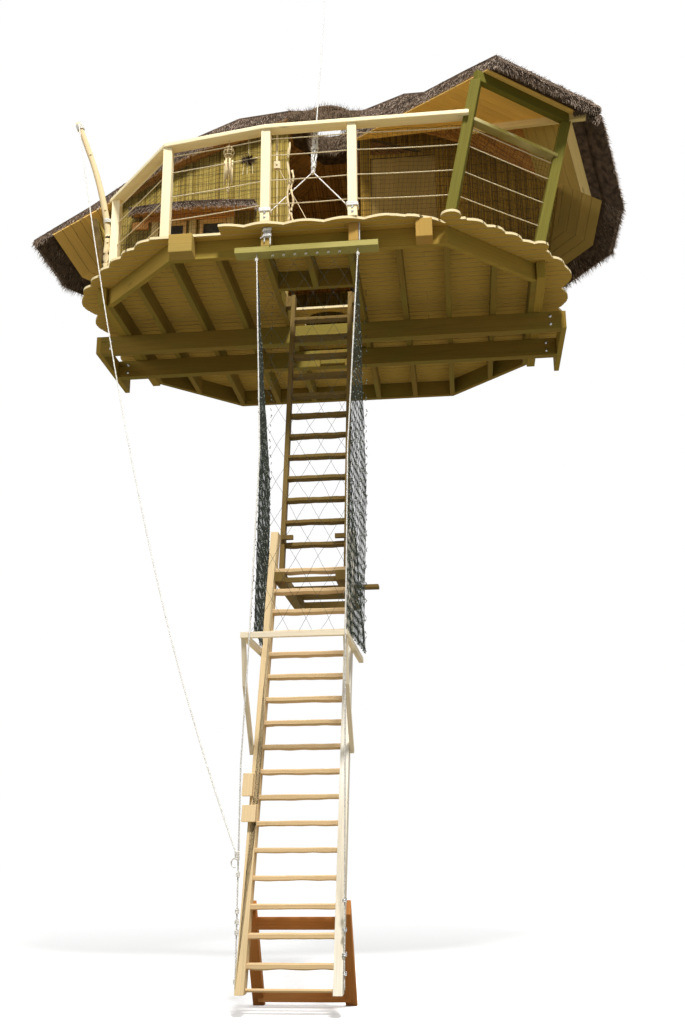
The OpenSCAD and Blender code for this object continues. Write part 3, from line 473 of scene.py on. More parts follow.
def sagging(a, b, drop):
    """Points of a line that sags by so much in the middle."""
    count = max(4, round((b - a).length / 0.12))
    return [a.lerp(b, k / count) - Vector((0, 0, drop * 4 * (k / count) * (1 - k / count)))
            for k in range(count + 1)]


def circle_points(centre, right, up, parts):
    """A closed circle or ellipse round a centre; right and up are its half axes."""
    turns = (math.tau * k / parts for k in range(parts + 1))
    return [centre + right * math.cos(a) + up * math.sin(a) for a in turns]


def clean_copy(name):
    """The node's mesh with its split corners welded and its flat faces whole."""
    mesh = bmesh.new()
    mesh.from_mesh(nodes[name].data)
    bmesh.ops.remove_doubles(mesh, verts=mesh.verts, dist=2e-5)
    bmesh.ops.dissolve_limit(mesh, angle_limit=math.radians(0.5), verts=mesh.verts, edges=mesh.edges)
    return mesh


def islands(mesh):
    """Number of the loose part that each face belongs to."""
    seen = {}
    count = 0
    for start in mesh.faces:
        if start in seen:
            continue
        seen[start] = count
        stack = [start]
        while stack:
            face = stack.pop()
            for edge in face.edges:
                for near in edge.link_faces:
                    if near not in seen:
                        seen[near] = count
                        stack.append(near)
        count += 1
    return seen


def grain_map(mesh):
    """Lays the grain along every face's longest edge, a part for each loose piece and direction."""
    layer = mesh.loops.layers.uv.new("grain")
    loose = islands(mesh)
    places = {}
    for face in mesh.faces:
        longest = max(face.edges, key=lambda e: e.calc_length())
        along = (longest.verts[1].co - longest.verts[0].co).normalized()
        if along.dot(Vector((1, 0.3, 0.1))) < 0:
            along = -along
        key = (loose[face], round(along.x * 3), round(along.y * 3), round(along.z * 3))
        shift = places.setdefault(key, len(places)) * PIECE_STEP + 4.0
        across = face.normal.cross(along)
        for loop in face.loops:
            loop[layer].uv = (loop.vert.co.dot(along), loop.vert.co.dot(across) + shift)


def timbers(name, material, slot, bevel):
    """Stands for a CAD node of squared timbers, with worn edges and the grain along each."""
    mesh = clean_copy(name)
    grain_map(mesh)
    sharp = [e for e in mesh.edges if len(e.link_faces) == 2 and e.calc_face_angle(0) > math.radians(25)]
    bmesh.ops.bevel(
        mesh, geom=sharp, offset=bevel, segments=2, profile=0.6, affect="EDGES", clamp_overlap=True)
    data = bpy.data.meshes.new(name + "_timber")
    mesh.to_mesh(data)
    mesh.free()
    settle(bpy.data.objects.new(name + "_timber", data), material, slot, [name])


def flat_faces(name, least):
    """Flat sides of a CAD node: (normal, its triangles), those under the least area left out."""
    data = nodes[name].data
    data.calc_loop_triangles()
    sides = []
    for t in data.loop_triangles:
        corners = [data.vertices[i].co.copy() for i in t.vertices]
        normal = (corners[1] - corners[0]).cross(corners[2] - corners[0])
        area = normal.length / 2
        if area < 1e-8:
            continue
        normal.normalize()
        for side in sides:
            if side[0].dot(normal) > 0.9995 and abs(side[0].dot(corners[0] - side[1][0][0])) < 0.002:
                side[1].append(corners)
                side[2] += area
                break
        else:
            sides.append([normal, [corners], area])
    return [(n, t) for n, t, area in sides if area > least]


def runs_on(normal, triangles, along, pitch, margin=0.0):
    """Where lines in a direction, a pitch apart, cross a flat side: (start, end, number of the line)."""
    along = (along - normal * along.dot(normal)).normalized()
    across = normal.cross(along)
    base = triangles[0][0]
    flat = [[((c - base).dot(across), (c - base).dot(along)) for c in t] for t in triangles]
    origin = base.dot(across)
    low = min(c[0] for t in flat for c in t) + origin
    high = max(c[0] for t in flat for c in t) + origin
    found = []
    for number in range(math.floor(low / pitch) - 1, math.ceil(high / pitch) + 1):
        place = (number + 0.5) * pitch - origin
        cuts = []
        for t in flat:
            hits = []
            for (t0, s0), (t1, s1) in zip(t, [*t[1:], t[0]]):
                if (t0 - place) * (t1 - place) < 0:
                    hits.append(s0 + (s1 - s0) * (place - t0) / (t1 - t0))
            if len(hits) == 2:
                cuts.append([min(hits), max(hits)])
        cuts.sort()
        merged = []
        for cut in cuts:
            if merged and cut[0] < merged[-1][1] + 0.003:
                merged[-1][1] = max(merged[-1][1], cut[1])
            else:
                merged.append(cut)
        start = base + across * place
        for a, b in merged:
            if b - a > 2 * margin + 0.01:
                found.append((start + along * (a + margin), start + along * (b - margin), number))
    return found


# Haul rope: hangs free from the top of the gin pole to the left lifeline, tied on at both ends

HAUL_ROUTE = [
    (-2.850, -1.009, 2.465), (-2.730, -1.090, 1.895), (-2.610, -1.165, 1.345), (-2.490, -1.245, 0.810),
    (-2.370, -1.320, 0.290), (-2.250, -1.400, -0.215), (-2.130, -1.480, -0.700), (-2.010, -1.555, -1.175),
    (-1.890, -1.635, -1.630), (-1.770, -1.715, -2.070), (-1.650, -1.790, -2.490), (-1.530, -1.870, -2.900),
    (-1.410, -1.950, -3.290), (-1.290, -2.025, -3.670), (-1.170, -2.105, -4.030), (-1.050, -2.185, -4.370),
    (-0.925, -2.260, -4.700), (-0.805, -2.340, -5.010), (-0.685, -2.415, -5.305), (-0.565, -2.495, -5.585),
    (-0.447, -2.574, -5.850)]
HAUL_D = 0.014


def haul_rope():
    heap = Heap()
    laid_rope(heap, smoothed(HAUL_ROUTE, 4), HAUL_D, 6, 8)
    rope = heap.piece("haul_line", ROPE, "white_rope", True, ["haul_rope"])


haul_rope()


# Squared timbers

for name, material, slot, bevel in (
        ("main_beam_front", BEAM, "beam_timber", 0.008), ("main_beam_back", BEAM, "beam_timber", 0.008),
        ("trunk_pads", BEAM, "beam_timber", 0.006), ("joists", BEAM, "beam_timber", 0.005),
        ("end_planks", FRAME, "frame_timber", 0.006), ("side_timbers", FRAME, "frame_timber", 0.008),
        ("front_rims", FRAME, "frame_timber", 0.006), ("rear_rims", BEAM, "beam_timber", 0.006),
        ("hatch_header", BEAM, "beam_timber", 0.005), ("post_blocks", BLOCK, "frame_timber", 0.008),
        ("railing_posts", RAIL, "rail_timber", 0.009), ("leaning_posts", SHADED_LEANER, "rail_timber", 0.010),
        ("header_beam", SHADED_LEANER, "rail_timber", 0.006), ("top_rails", RAIL, "rail_timber", 0.007),
        ("door_leaf", DOOR, "door_boards", 0.003), ("window_frames", SASH, "window_wood", 0.004),
        ("lower_stringers", STRINGERS_SUNLIT_RIGHT, "ladder_timber", 0.007),
        ("upper_stringers", LADDER_BROWN, "ladder_brown", 0.005),
        ("base_frame", BASE, "base_timber", 0.005), ("mid_landing", LADDER_BROWN, "ladder_brown", 0.005),
        ("net_frame", STRINGER, "ladder_timber", 0.004), ("hook_board", HOOKS, "frame_timber", 0.006)):
    timbers(name, material, slot, bevel)


# Deck boards along X, cut to the outline of the deck

BOARD_PITCH = 0.098
BOARD_GAP = 0.012
TONGUE = 0.008
BUTT_PLACES = [-1.9, -1.2, -0.42, 0.42, 1.2, 1.9]
BUTT_GAP = 0.003


def sawn_to(plate, heap, name, material):
    """The part of a heap of planks that lies within a plate, as a mesh."""
    planks = heap.piece(name + "_uncut", material, "deck_boards")
    cut = planks.modifiers.new("outline", "BOOLEAN")
    cut.operation = "INTERSECT"
    cut.solver = "EXACT"
    cut.object = plate
    bpy.context.view_layer.update()
    shape = bpy.data.meshes.new_from_object(planks.evaluated_get(bpy.context.evaluated_depsgraph_get()))
    bpy.data.objects.remove(planks)
    shape.name = name
    return settle(bpy.data.objects.new(name, shape), material, "deck_boards")


def cut_boards(name):
    """The node's plate sawn into boards, with thin tongues in their seams, near black as painted shade in the
    gaps.
    """
    low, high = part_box(name)
    middle = (low.z + high.z) / 2
    planks, seams = Heap(), Heap()
    first, last = math.floor(low.y / BOARD_PITCH), math.ceil(high.y / BOARD_PITCH)
    spare = 0.1
    for k in range(first, last + 1):
        y = (k + 0.5) * BOARD_PITCH
        crook = rng.uniform(-0.001, 0.001)
        joint = rng.choice(BUTT_PLACES)
        for x0, x1 in ((low.x - spare, joint - BUTT_GAP / 2), (joint + BUTT_GAP / 2, high.x + spare)):
            if x1 > low.x and x0 < high.x:
                stick(planks, (x0, y + crook, middle), (x1, y - crook, middle), BOARD_PITCH - BOARD_GAP,
                      high.z - low.z + 0.0004, 0.004)
        seam = y + BOARD_PITCH / 2
        stick(seams, (low.x - spare, seam, middle), (high.x + spare, seam, middle), BOARD_GAP + 0.006, TONGUE,
              0.001)
    plate = bpy.data.objects.new(name + "_plate", bpy.data.meshes.new(name + "_plate"))
    mesh = clean_copy(name)
    mesh.to_mesh(plate.data)
    mesh.free()
    bpy.context.scene.collection.objects.link(plate)
    boards = sawn_to(plate, planks, name + "_boards", DECK)
    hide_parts(name)
    sawn_to(plate, seams, name + "_seams", SEAM_SHADE)
    bpy.data.objects.remove(plate)


for name in ("deck_front", "deck_left", "deck_right", "deck_back", "deck_middle"):
    cut_boards(name)


# Reed mats: split stalks side by side in bundles, stitched with dark wire

REED_PITCH = 0.0135
# Reeds in a bundle, the first of each thin, and distance between the lines of stitches
BUNDLE = 5
STITCH = 0.132
WIRE_R = 0.0019


def stalk(heap, a, b, normal, width, rise):
    """One split reed, half round, lying on the plane with the given normal."""
    side = normal.cross((b - a).normalized())
    lean = side * rng.uniform(-0.005, 0.005)
    stops = [a.lerp(b, t) + lean * math.sin(3 * t) for t in (0, 0.5, 1)]
    girth = (0, width * 0.4, width * 0.7, width)
    clear = 0.0003
    verts = [p + side * w + normal * h for p in stops for w, h in (
        (-width / 2, clear), (-width / 6, rise), (width / 6, rise), (width / 2, clear))]
    run = (b - a).length / 2
    faces, uvs = [], []
    for i in range(2):
        for k in range(3):
            faces.append((4 * i + k, 4 * i + k + 1, 4 * i + k + 5, 4 * i + k + 4))
            uvs += oblong(i * run, (i + 1) * run, girth[k], girth[k + 1])
    heap.add(verts, faces, uvs)


def reed_plane(stalks, wires, normal, triangles, along):
    """Covers one flat side with reeds that run along, and stitches across them."""
    for start, end, number in runs_on(normal, triangles, along, REED_PITCH, margin=0.002):
        width, rise = rng.uniform(0.0125, 0.0155), rng.uniform(0.004, 0.0085)
        if number % BUNDLE == 0:
            width, rise = 0.008, 0.003
        run = end - start
        start, end = start + run * rng.uniform(0, 0.006), end - run * rng.uniform(0, 0.006)
        stalk(stalks, start, end, normal, width, rise)
    across = normal.cross((along - normal * along.dot(normal)).normalized())
    for start, end, _ in runs_on(normal, triangles, across, STITCH, margin=0.01):
        line = [p + normal * (0.0075 + 0.003 * rng.random()) + Vector((0, 0, rng.uniform(-0.004, 0.004)))
                for p in resampled([start, end], 0.09)]
        tube(wires, line, WIRE_R, 3)


def reed_mat(name, material, slot):
    stalks, wires = Heap(), Heap()
    for normal, triangles in flat_faces(name, 0.15):
        if abs(normal.z) < 0.75:
            reed_plane(stalks, wires, normal, triangles, UP)
    stalks.piece(name + "_reeds", material, slot)
    wires.piece(name + "_wires", NET, slot)
    dress(nodes[name], REED_CORE)


for name in ("wall_front_left", "wall_left", "wall_back", "side_screens"):
    reed_mat(name, REED, "reed_screen")
for name in ("wall_front_right", "wall_right"):
    reed_mat(name, BROWN_REED, "brown_reed")


# Thatch: twigs over every open side of the roof, lying down the slope and bristling at the eaves

ROOF_NODES = ("thatch_left", "thatch_back", "thatch_right", "thatch_hood", "thatch_collar", "soffit_boards")


def solid_tree(name):
    mesh = bmesh.new()
    mesh.from_mesh(nodes[name].data)
    tree = BVHTree.FromBMesh(mesh)
    mesh.free()
    return tree


roof_trees = {name: solid_tree(name) for name in ROOF_NODES}
# Direction of the test rays, off every edge of the roof
SKYWARD = Vector((0.31, -0.17, 0.935)).normalized()


def buried(point, own):
    """Whether a point lies inside another piece of the roof: a ray from it then leaves that piece."""
    for name, tree in roof_trees.items():
        if name != own:
            hit, normal, _, _ = tree.ray_cast(point, SKYWARD)
            if hit and normal.dot(SKYWARD) > 0:
                return True
    return False


def twig(heap, root, way, size, wide):
    """A three sided spike that droops a little; its map runs from 0 at the root to 1 at the tip."""
    side, top = across_of(way)
    tip = root + way * size - Vector((0, 0, 0.05 * size))
    heap.add([root + side * wide, root + top * wide, root - side * wide - top * wide * 0.5, tip],
             [(0, 1, 3), (1, 2, 3), (2, 0, 3)],
             [(0, 0), (0, wide), (1, wide / 2), (0, wide), (0, 2 * wide), (1, wide),
              (0, 2 * wide), (0, 3 * wide), (1, wide)])


def twig_field(heap, name, density, length, thickness, lift, seed, eave_density, skip=lambda p, n: False):
    """Twigs over a node's faces: they lie flat on the slopes and stand out at the eaves' steep faces."""
    pick = random.Random(seed)
    data = nodes[name].data
    data.calc_loop_triangles()
    for t in data.loop_triangles:
        a, b, c = (data.vertices[i].co for i in t.vertices)
        normal = (b - a).cross(c - a)
        area = normal.length / 2
        if area < 1e-7:
            continue
        normal.normalize()
        if normal.z < -0.76 or skip((a + b + c) / 3, normal):
            continue
        steep = abs(normal.z) < 0.7
        down = normal * normal.z - UP
        down.normalize()
        amount = area * (eave_density if steep else density)
        for _ in range(int(amount) + (pick.random() < amount % 1)):
            u, v = pick.random(), pick.random()
            if u + v > 1:
                u, v = 1 - u, 1 - v
            place = a + (b - a) * u + (c - a) * v
            stray = Vector((pick.gauss(0, 0.16), pick.gauss(0, 0.16), pick.gauss(0, 0.10)))
            out = lift * pick.uniform(0.2, 1.5) * (3.0 if steep else 1.0)
            way = (down + normal * out + stray).normalized()
            size = length * pick.uniform(0.55, 1.2)
            wide = thickness * pick.uniform(0.6, 1.3)
            if not buried(place + normal * 0.015, name) and not buried(place + way * size * 0.9, name):
                twig(heap, place - normal * 0.010, way, size, wide)


def corner_tuft(centre, size, seed):
    """A rounded tuft of thatch that closes the step between two sides of the roof."""
    pick = random.Random(seed)
    lump, twigs = Heap(), Heap()
    centre, size = Vector(centre), Vector(size)
    rings, around, count = 7, 12, 1500
    for i in range(rings):
        verts = []
        for part in (i, i + 1):
            polar = math.pi * part / rings
            for k in range(around):
                angle = math.tau * k / around
                level = math.sin(polar)
                way = Vector((level * math.cos(angle), level * math.sin(angle), math.cos(polar)))
                verts.append(centre + way * size * (1 + 0.1 * noise.noise(way * 3)))
        faces = [(k, k + around, (k + 1) % around + around, (k + 1) % around) for k in range(around)]
        lump.add(verts, faces, [(0, 0), (0.1, 0), (0.1, 0.1), (0, 0.1)] * around)
    for _ in range(count):
        way = Vector((pick.gauss(0, 1), pick.gauss(0, 1), pick.gauss(0, 1))).normalized()
        root = centre + way * size * 0.95
        down = (Vector((0, 0, -1)) + way * 0.5 + Vector((0.35, -0.5, 0))).normalized()
        twig(twigs, root, down, pick.uniform(0.03, 0.06), 0.004)
    lump.piece("corner_tuft_core", HEATHER_CORE, "thatch")
    twigs.piece("corner_tuft_twigs", HEATHER, "thatch")


def inner_verge(p, n):
    """The level underside of the right eave, that shows as a smooth dark band."""
    return n.z < -0.5 and p.x > 0 and p.y < 0.2


TWIG_W, STRAW_W = 0.0042, 0.0032
# How many times as dense the twigs are at the eaves
EAVE_SHARE = 1.5
# Node, twigs to the square metre, and their length
for number, (name, density, length) in enumerate((
        ("thatch_left", 3000, 0.075), ("thatch_back", 2000, 0.085), ("thatch_right", 3000, 0.075),
        ("thatch_hood", 3600, 0.060), ("window_canopy", 5200, 0.055))):
    twigs = Heap()
    twig_field(twigs, name, density, length, TWIG_W, 0.16, 20 + number, density * EAVE_SHARE, inner_verge)
    twigs.piece(name + "_twigs", HEATHER, "thatch")
    dress(nodes[name], HEATHER_CORE)
corner_tuft((3.05, -1.16, 2.030), (0.15, 0.10, 0.060), 61)
straws = Heap()
twig_field(straws, "thatch_collar", 6000, 0.09, STRAW_W, 0.25, 40, 6000)
straws.piece("collar_straws", STRAW, "straw")
dress(nodes["thatch_collar"], STRAW_CORE)


# Ceilings: boards along the eaves and under the hood, reed mats over the rest

def outline_of(normal, triangles, along):
    """Flat convex outline of a side: points (along, across), its origin and its two directions."""
    along = (along - normal * along.dot(normal)).normalized()
    across = normal.cross(along)
    base = triangles[0][0]
    flat = {(round((c - base).dot(along), 5), round((c - base).dot(across), 5)) for t in triangles for c in t}
    order = [Vector((*p, 0)) for p in sorted(flat)]
    hull = []
    for part in (order, order[::-1]):
        row = []
        for p in part:
            while len(row) > 1 and (row[-1] - row[-2]).cross(p - row[-1]).z <= 0:
                row.pop()
            row.append(p)
        hull += row[:-1]
    return hull, base, along, across


def clipped(polygon, axis, limit, keep_above):
    """Part of a flat convex polygon on one side of a line square to an axis."""
    out = []
    for a, b in zip(polygon, polygon[1:] + polygon[:1]):
        inside_a, inside_b = ((p[axis] >= limit) == keep_above for p in (a, b))
        if inside_a:
            out.append(a)
        if inside_a != inside_b:
            out.append(a.lerp(b, (limit - a[axis]) / (b[axis] - a[axis])))
    return out


LONGEST_BOARD = 2.4


def ceiling_boards(heaps, normal, triangles, along, pitch, thickness):
    """Boards over one flat side, sawn to its outline. The rows go to the heaps in turn from the lowest up,
    and all that are left go to the last heap."""
    if normal.cross(along).z < 0:
        along = -along
    hull, base, along, across = outline_of(normal, triangles, along)
    low = min(p.y for p in hull)
    rows = math.ceil((max(p.y for p in hull) - low) / pitch)
    gap, butt_gap, shortest = 0.0022, 0.001, 0.02
    for row in range(rows):
        strip = clipped(hull, 1, low + row * pitch + gap, True)
        strip = clipped(strip, 1, low + (row + 1) * pitch - gap, False)
        if len(strip) < 3:
            continue
        left, right = min(p.x for p in strip), max(p.x for p in strip)
        joint = left + (right - left) * rng.uniform(0.35, 0.65) if right - left > LONGEST_BOARD else right
        for start, end in ((left, joint - butt_gap), (joint + butt_gap, right)):
            part = clipped(clipped(strip, 0, start, True), 0, end, False)
            if len(part) < 3 or end - start < shortest:
                continue
            drop = thickness + rng.uniform(0, 0.0015)
            n = len(part)
            verts = [base + along * p.x + across * p.y + normal * h for h in (0.0004, drop) for p in part]
            faces = [tuple(range(n, 2 * n))] + [(k, (k + 1) % n, (k + 1) % n + n, k + n) for k in range(n)]
            uvs = [(p.x, p.y) for p in part]
            for k in range(n):
                a, b = part[k], part[(k + 1) % n]
                uvs += [(a.x, a.y), (b.x, b.y), (b.x, b.y + drop), (a.x, a.y + drop)]
            heaps[min(row, len(heaps) - 1)].add(verts, faces, uvs)


# Direction of the hood's low edge on plan
HOOD_EDGE = Vector((1.093, 0.902, 0))


def ceilings():
    """Tells the roof's planes apart by height and slope: the hood, its steep sides, the eaves, the rest."""
    boards, shaded_rows, reeds, wires, bands, pale = (Heap() for _ in range(6))
    for normal, triangles in flat_faces("soffit_boards", 0.05):
        if normal.z > -0.2:
            continue
        points = [c for t in triangles for c in t]
        low, high = min(p.z for p in points), max(p.z for p in points)
        hood = high < 2.6 and low > 2.0 and min(p.y for p in points) < -1
        steep = normal.z > -0.6
        eave = high < 2.29 and low < 1.8
        if hood and not steep:
            ceiling_boards([boards], normal, triangles, HOOD_EDGE, 0.105, 0.010)
        elif steep:
            ceiling_boards([boards], normal, triangles, UP, 0.12, 0.010)
        elif eave:
            uphill = normal.cross(normal.cross(UP).normalized())
            low_edge = max(((a - b) for t in triangles for a, b in zip(t, [*t[1:], t[0]])),
                           key=lambda e: e.length * (1 - abs(e.normalized().dot(uphill))))
            middle = sum(points, Vector()) / len(points)
            # Eave boards right of X = 2 get the darker colour, painted shade
            rows = [shaded_rows] if middle.x > 2.0 else [boards]
            if middle.x > 2.3 and middle.y < 0:
                rows = [bands, pale, shaded_rows]
            ceiling_boards(rows, normal, triangles, low_edge, 0.125, 0.012)
        else:
            reed_plane(reeds, wires, normal, triangles, UP - normal * normal.z)
    boards.piece("roof_boards", SOFFIT, "soffit_boards")
    shaded_rows.piece("shaded_eave_boards", SHADED_EAVES, "soffit_boards")
    bands.piece("eave_band", HEATHER_CORE, "thatch")
    pale.piece("eave_board", FASCIA, "soffit_boards")
    reeds.piece("ceiling_reeds", CEILING_REED, "soffit_boards")
    wires.piece("ceiling_wires", NET, "soffit_boards")
    dress(nodes["soffit_boards"], BOARD_BACKS)


ceilings()


# Ladder treads: slabs with waney edges

def treads(name, material, slot, wave):
    """A slab for each deep tread, whose edges and top sway by so much, and a rod for a thin one."""
    heap = Heap()
    mesh = clean_copy(name)
    loose = islands(mesh)
    parts = 28
    for number in range(max(loose.values()) + 1):
        corners = [v.co for f, k in loose.items() if k == number for v in f.verts]
        low = Vector([min(c[i] for c in corners) for i in range(3)])
        high = Vector([max(c[i] for c in corners) for i in range(3)])
        size = high - low
        y, z = (low.y + high.y) / 2, (low.z + high.z) / 2
        if size.y < 0.06:
            tube(heap, resampled([(low.x, y, z), (high.x, y, z)], 0.05), size.z / 2, 8)
            continue
        path = [Vector((low.x + size.x * k / parts, y, z)) for k in range(parts + 1)]

        def ring(i):
            p = path[i]

            def sway(way, rough):
                at = Vector((p.x * rough, number * 3.7, way * 5.1))
                return noise.noise(at) * wave
            half, deep = size.z / 2, size.y / 2
            front, back = -deep + abs(sway(1, 9)), deep - abs(sway(2, 7))
            top, under = half + sway(3, 5) * 0.20, -half - 0.004 + sway(4, 8) * 0.4
            return [p + Vector((0, y, z)) for y, z in (
                (front + 0.006, under), (front, under * 0.6), (front + 0.002, top - 0.006),
                (front + 0.008, top), (back - 0.008, top), (back, top - 0.008), (back - 0.004, under))]
        heap.sweep(path, ring)
    mesh.free()
    heap.piece(name + "_slabs", material, slot, stands_for=[name])


treads("lower_treads", LADDER, "ladder_timber", 0.018)
treads("upper_treads", LADDER_BROWN, "ladder_brown", 0.016)


# Plain looks for what stays as it is

dress(nodes["window_panes"], PANE)
dress(nodes["pulley"], CORD)


# Rail ropes: laid rope through the posts, hanging a little between them

RAIL_ROPE_D = 0.014


def straight_rods(name):
    """Both ends of every straight rod in a CAD node."""
    mesh = clean_copy(name)
    loose = islands(mesh)
    ends = []
    for number in range(max(loose.values()) + 1):
        spots = np.array(sorted({tuple(v.co) for f, k in loose.items() if k == number for v in f.verts}))
        centre = spots.mean(axis=0)
        way = np.linalg.svd(spots - centre)[2][0]
        way *= np.sign(way[np.abs(way).argmax()])
        run = (spots - centre) @ way
        ends.append((Vector(centre + way * run.min()), Vector(centre + way * run.max())))
    mesh.free()
    return ends


def rail_ropes():
    heap = Heap()
    for a, b in straight_rods("rail_ropes"):
        tuck = (b - a).normalized() * 0.02
        laid_rope(heap, sagging(a - tuck, b + tuck, rng.uniform(0.003, 0.008)), RAIL_ROPE_D)
    heap.piece("rail_lines", CORD, "white_rope", True, ["rail_ropes"])


rail_ropes()


# Stay: a bundle of rope over the terrace, tied off to the two middle posts

STAY_D = 0.015
POST_HALF = 0.049
# The knot where the stay's two legs part, both ends of its sleeve, and the eye at its head
STAY_STOPS = (
    (0.082, -1.880, 0.996), (0.086, -1.880, 1.05), (0.114, -1.880, 1.497), (0.217, -1.880, 3.258))
STAY_FEET = ((-0.345, -1.962, 0.512), (0.452, -1.962, 0.512))
# Share of the way up the sleeve, and how far its strands lie from its middle there
SLEEVE = ((0, 0.011), (0.12, 0.020), (0.3, 0.026), (0.5, 0.023), (0.7, 0.026), (0.88, 0.019), (1, 0.010))
SLEEVE_STRANDS = 5


def square_lashing(heap, centre, half, turns, diameter):
    """Turns of rope round a squared upright."""
    reach = half + diameter / 2
    ring = [(-1, -0.85), (-0.85, -1), (0.85, -1), (1, -0.85), (1, 0.85), (0.85, 1), (-0.85, 1), (-1, 0.85)]
    path = []
    for k in range(turns * 8 + 1):
        x, y = ring[k % 8]
        path.append(Vector(centre) + Vector((x * reach, y * reach, (k / 8 - turns / 2) * diameter * 1.02)))
    tube(heap, path, diameter / 2)


def stay_sleeve(heap, low, high):
    """Strands wound slackly round each other, with a whipping at both ends and in the middle."""
    way = high - low
    for strand in range(SLEEVE_STRANDS):
        angle = math.tau * strand / SLEEVE_STRANDS
        path = []
        for i, (share, out) in enumerate(SLEEVE):
            round_by = angle + i * 0.5
            path.append(low.lerp(high, share) + Vector((math.cos(round_by), math.sin(round_by), 0)) * out)
        laid_rope(heap, path, 0.021)
    for share, radius in ((0.02, 0.022), (0.5, 0.036), (0.97, 0.022)):
        coils(heap, low + way * share, way, radius, 3, 0.011)


def block_knot(heap):
    """The lashing on the left middle block: ropes down its face, turns across them, and a loose end."""
    face = blocks_face
    for x, foot in ((-0.412, 0.152), (-0.397, 0.205), (-0.381, 0.205), (-0.366, 0.205), (-0.351, 0.118)):
        laid_rope(heap, [(x, face - 0.009, deck_bottom), (x + 0.002, face - 0.009, foot)], 0.017)
    for z in (0.218, 0.234, 0.285, 0.300):
        tube(heap, [
            (-0.428, face - 0.006, z - 0.012), (-0.415, face - 0.021, z),
            (-0.350, face - 0.021, z + 0.003), (-0.338, face - 0.006, z + 0.008)], 0.0075)
    laid_rope(heap, [(-0.415, face - 0.010, 0.222), (-0.455, face - 0.010, 0.196)], 0.014)


def stay():
    heap = Heap()
    knot, low, high, eye = (Vector(c) for c in STAY_STOPS)
    laid_rope(heap, [high, eye], STAY_D)
    stay_sleeve(heap, low, high)
    coils(heap, knot, (0.1, 0, 1), 0.016, 3, STAY_D)
    coils(heap, knot + Vector((0, 0, 0.03)), (1, 0.3, 0.2), 0.015, 2, 0.014)
    for foot in STAY_FEET:
        laid_rope(heap, [knot, foot], STAY_D)
    for x, y in MIDDLE_POSTS:
        square_lashing(heap, (x, y, 0.49), POST_HALF, 3, 0.013)
    tube(heap, circle_points(eye + Vector((0, 0, 0.035)), Vector((0.028, 0, 0)), UP * 0.036, 16), 0.007)
    coils(heap, eye - Vector((0.002, 0, 0.03)), (0.06, 0, 1), 0.011, 4, 0.009)
    block_knot(heap)
    heap.piece("stay_lines", STAY, "white_rope", True, ["stay_rope"])


stay()


# Lifelines down both sides of the ladder, with the knots and rings that hold them

LIFELINE_D = 0.016
HOOK_Y = -1.912
# Each line's bends, from the hook board down to the ladder's foot
LEFT_LINE = [
    (-0.498, HOOK_Y, 0.0477), (-0.370, -2.2512, -2.2326), (-0.3835, -2.5177, -4.0242),
    (-0.4318, -2.5512, -5.1242), (-0.4318, -2.6042, -6.860)]
RIGHT_LINE = [
    (0.548, HOOK_Y, 0.0477), (0.459, -2.2512, -2.2326), (0.4535, -2.5177, -4.0242),
    (0.4438, -2.5512, -5.1242), (0.4318, -2.6042, -6.860)]
HOOKS_X = (-0.330, -0.215, -0.100, 0.015, 0.130, 0.245, 0.360)


def turns_up(heap, line, rises, radius, turns, diameter):
    """Short windings on a lifeline's last stretch, at distances from its foot."""
    bend, foot = Vector(line[-2]), Vector(line[-1])
    way = (bend - foot).normalized()
    for rise in rises:
        coils(heap, foot + way * rise, way, radius, turns, diameter)


def lifelines():
    heap, rings = Heap(), Heap()
    for line in (LEFT_LINE, RIGHT_LINE):
        laid_rope(heap, line, LIFELINE_D)
        coils(heap, Vector(line[0]) - Vector((0, 0.004, 0.07)), UP, 0.012, 3, 0.011)
    laid_rope(heap, [(0.568, -1.943, deck_bottom), (0.568, -1.943, blocks_foot - 0.002)], 0.018, 4, 6)
    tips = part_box("hook_board")[0].z
    for x in HOOKS_X:
        coils(heap, (x, HOOK_Y, tips + 0.014), (0.2, 0, 1), 0.009, 2, 0.009)
    turns_up(heap, LEFT_LINE, (0.06, 0.42, 0.50, 0.58, 0.86), 0.013, 3, 0.012)
    turns_up(rings, RIGHT_LINE, (0.12, 0.26, 0.44, 0.66), 0.014, 2, 0.012)
    place = Vector(HAUL_ROUTE[-1])
    coils(heap, place + Vector((0.004, 0, 0)), UP, 0.015, 5, HAUL_D)
    hook = circle_points(place - Vector((0.012, 0.012, 0.062)), Vector((0.028, 0, 0)), UP * 0.036, 14)
    tube(heap, hook[:12], 0.006)
    heap.piece("life_lines", ROPE, "white_rope", True, ["lifelines"])
    rings.piece("line_rings", STEEL, "white_rope", True)


lifelines()


# Gin pole: a crooked peeled pole that thins towards its head, where the haul rope is wound on

POLE_BENDS = [
    (-2.455, -0.887, 0.348), (-2.455, -0.887, 0.80), (-2.462, -0.888, 1.128), (-2.621, -0.917, 1.809),
    (-2.874, -0.967, 2.524)]
POLE_R = 0.042
POLE_THINNING = 0.010


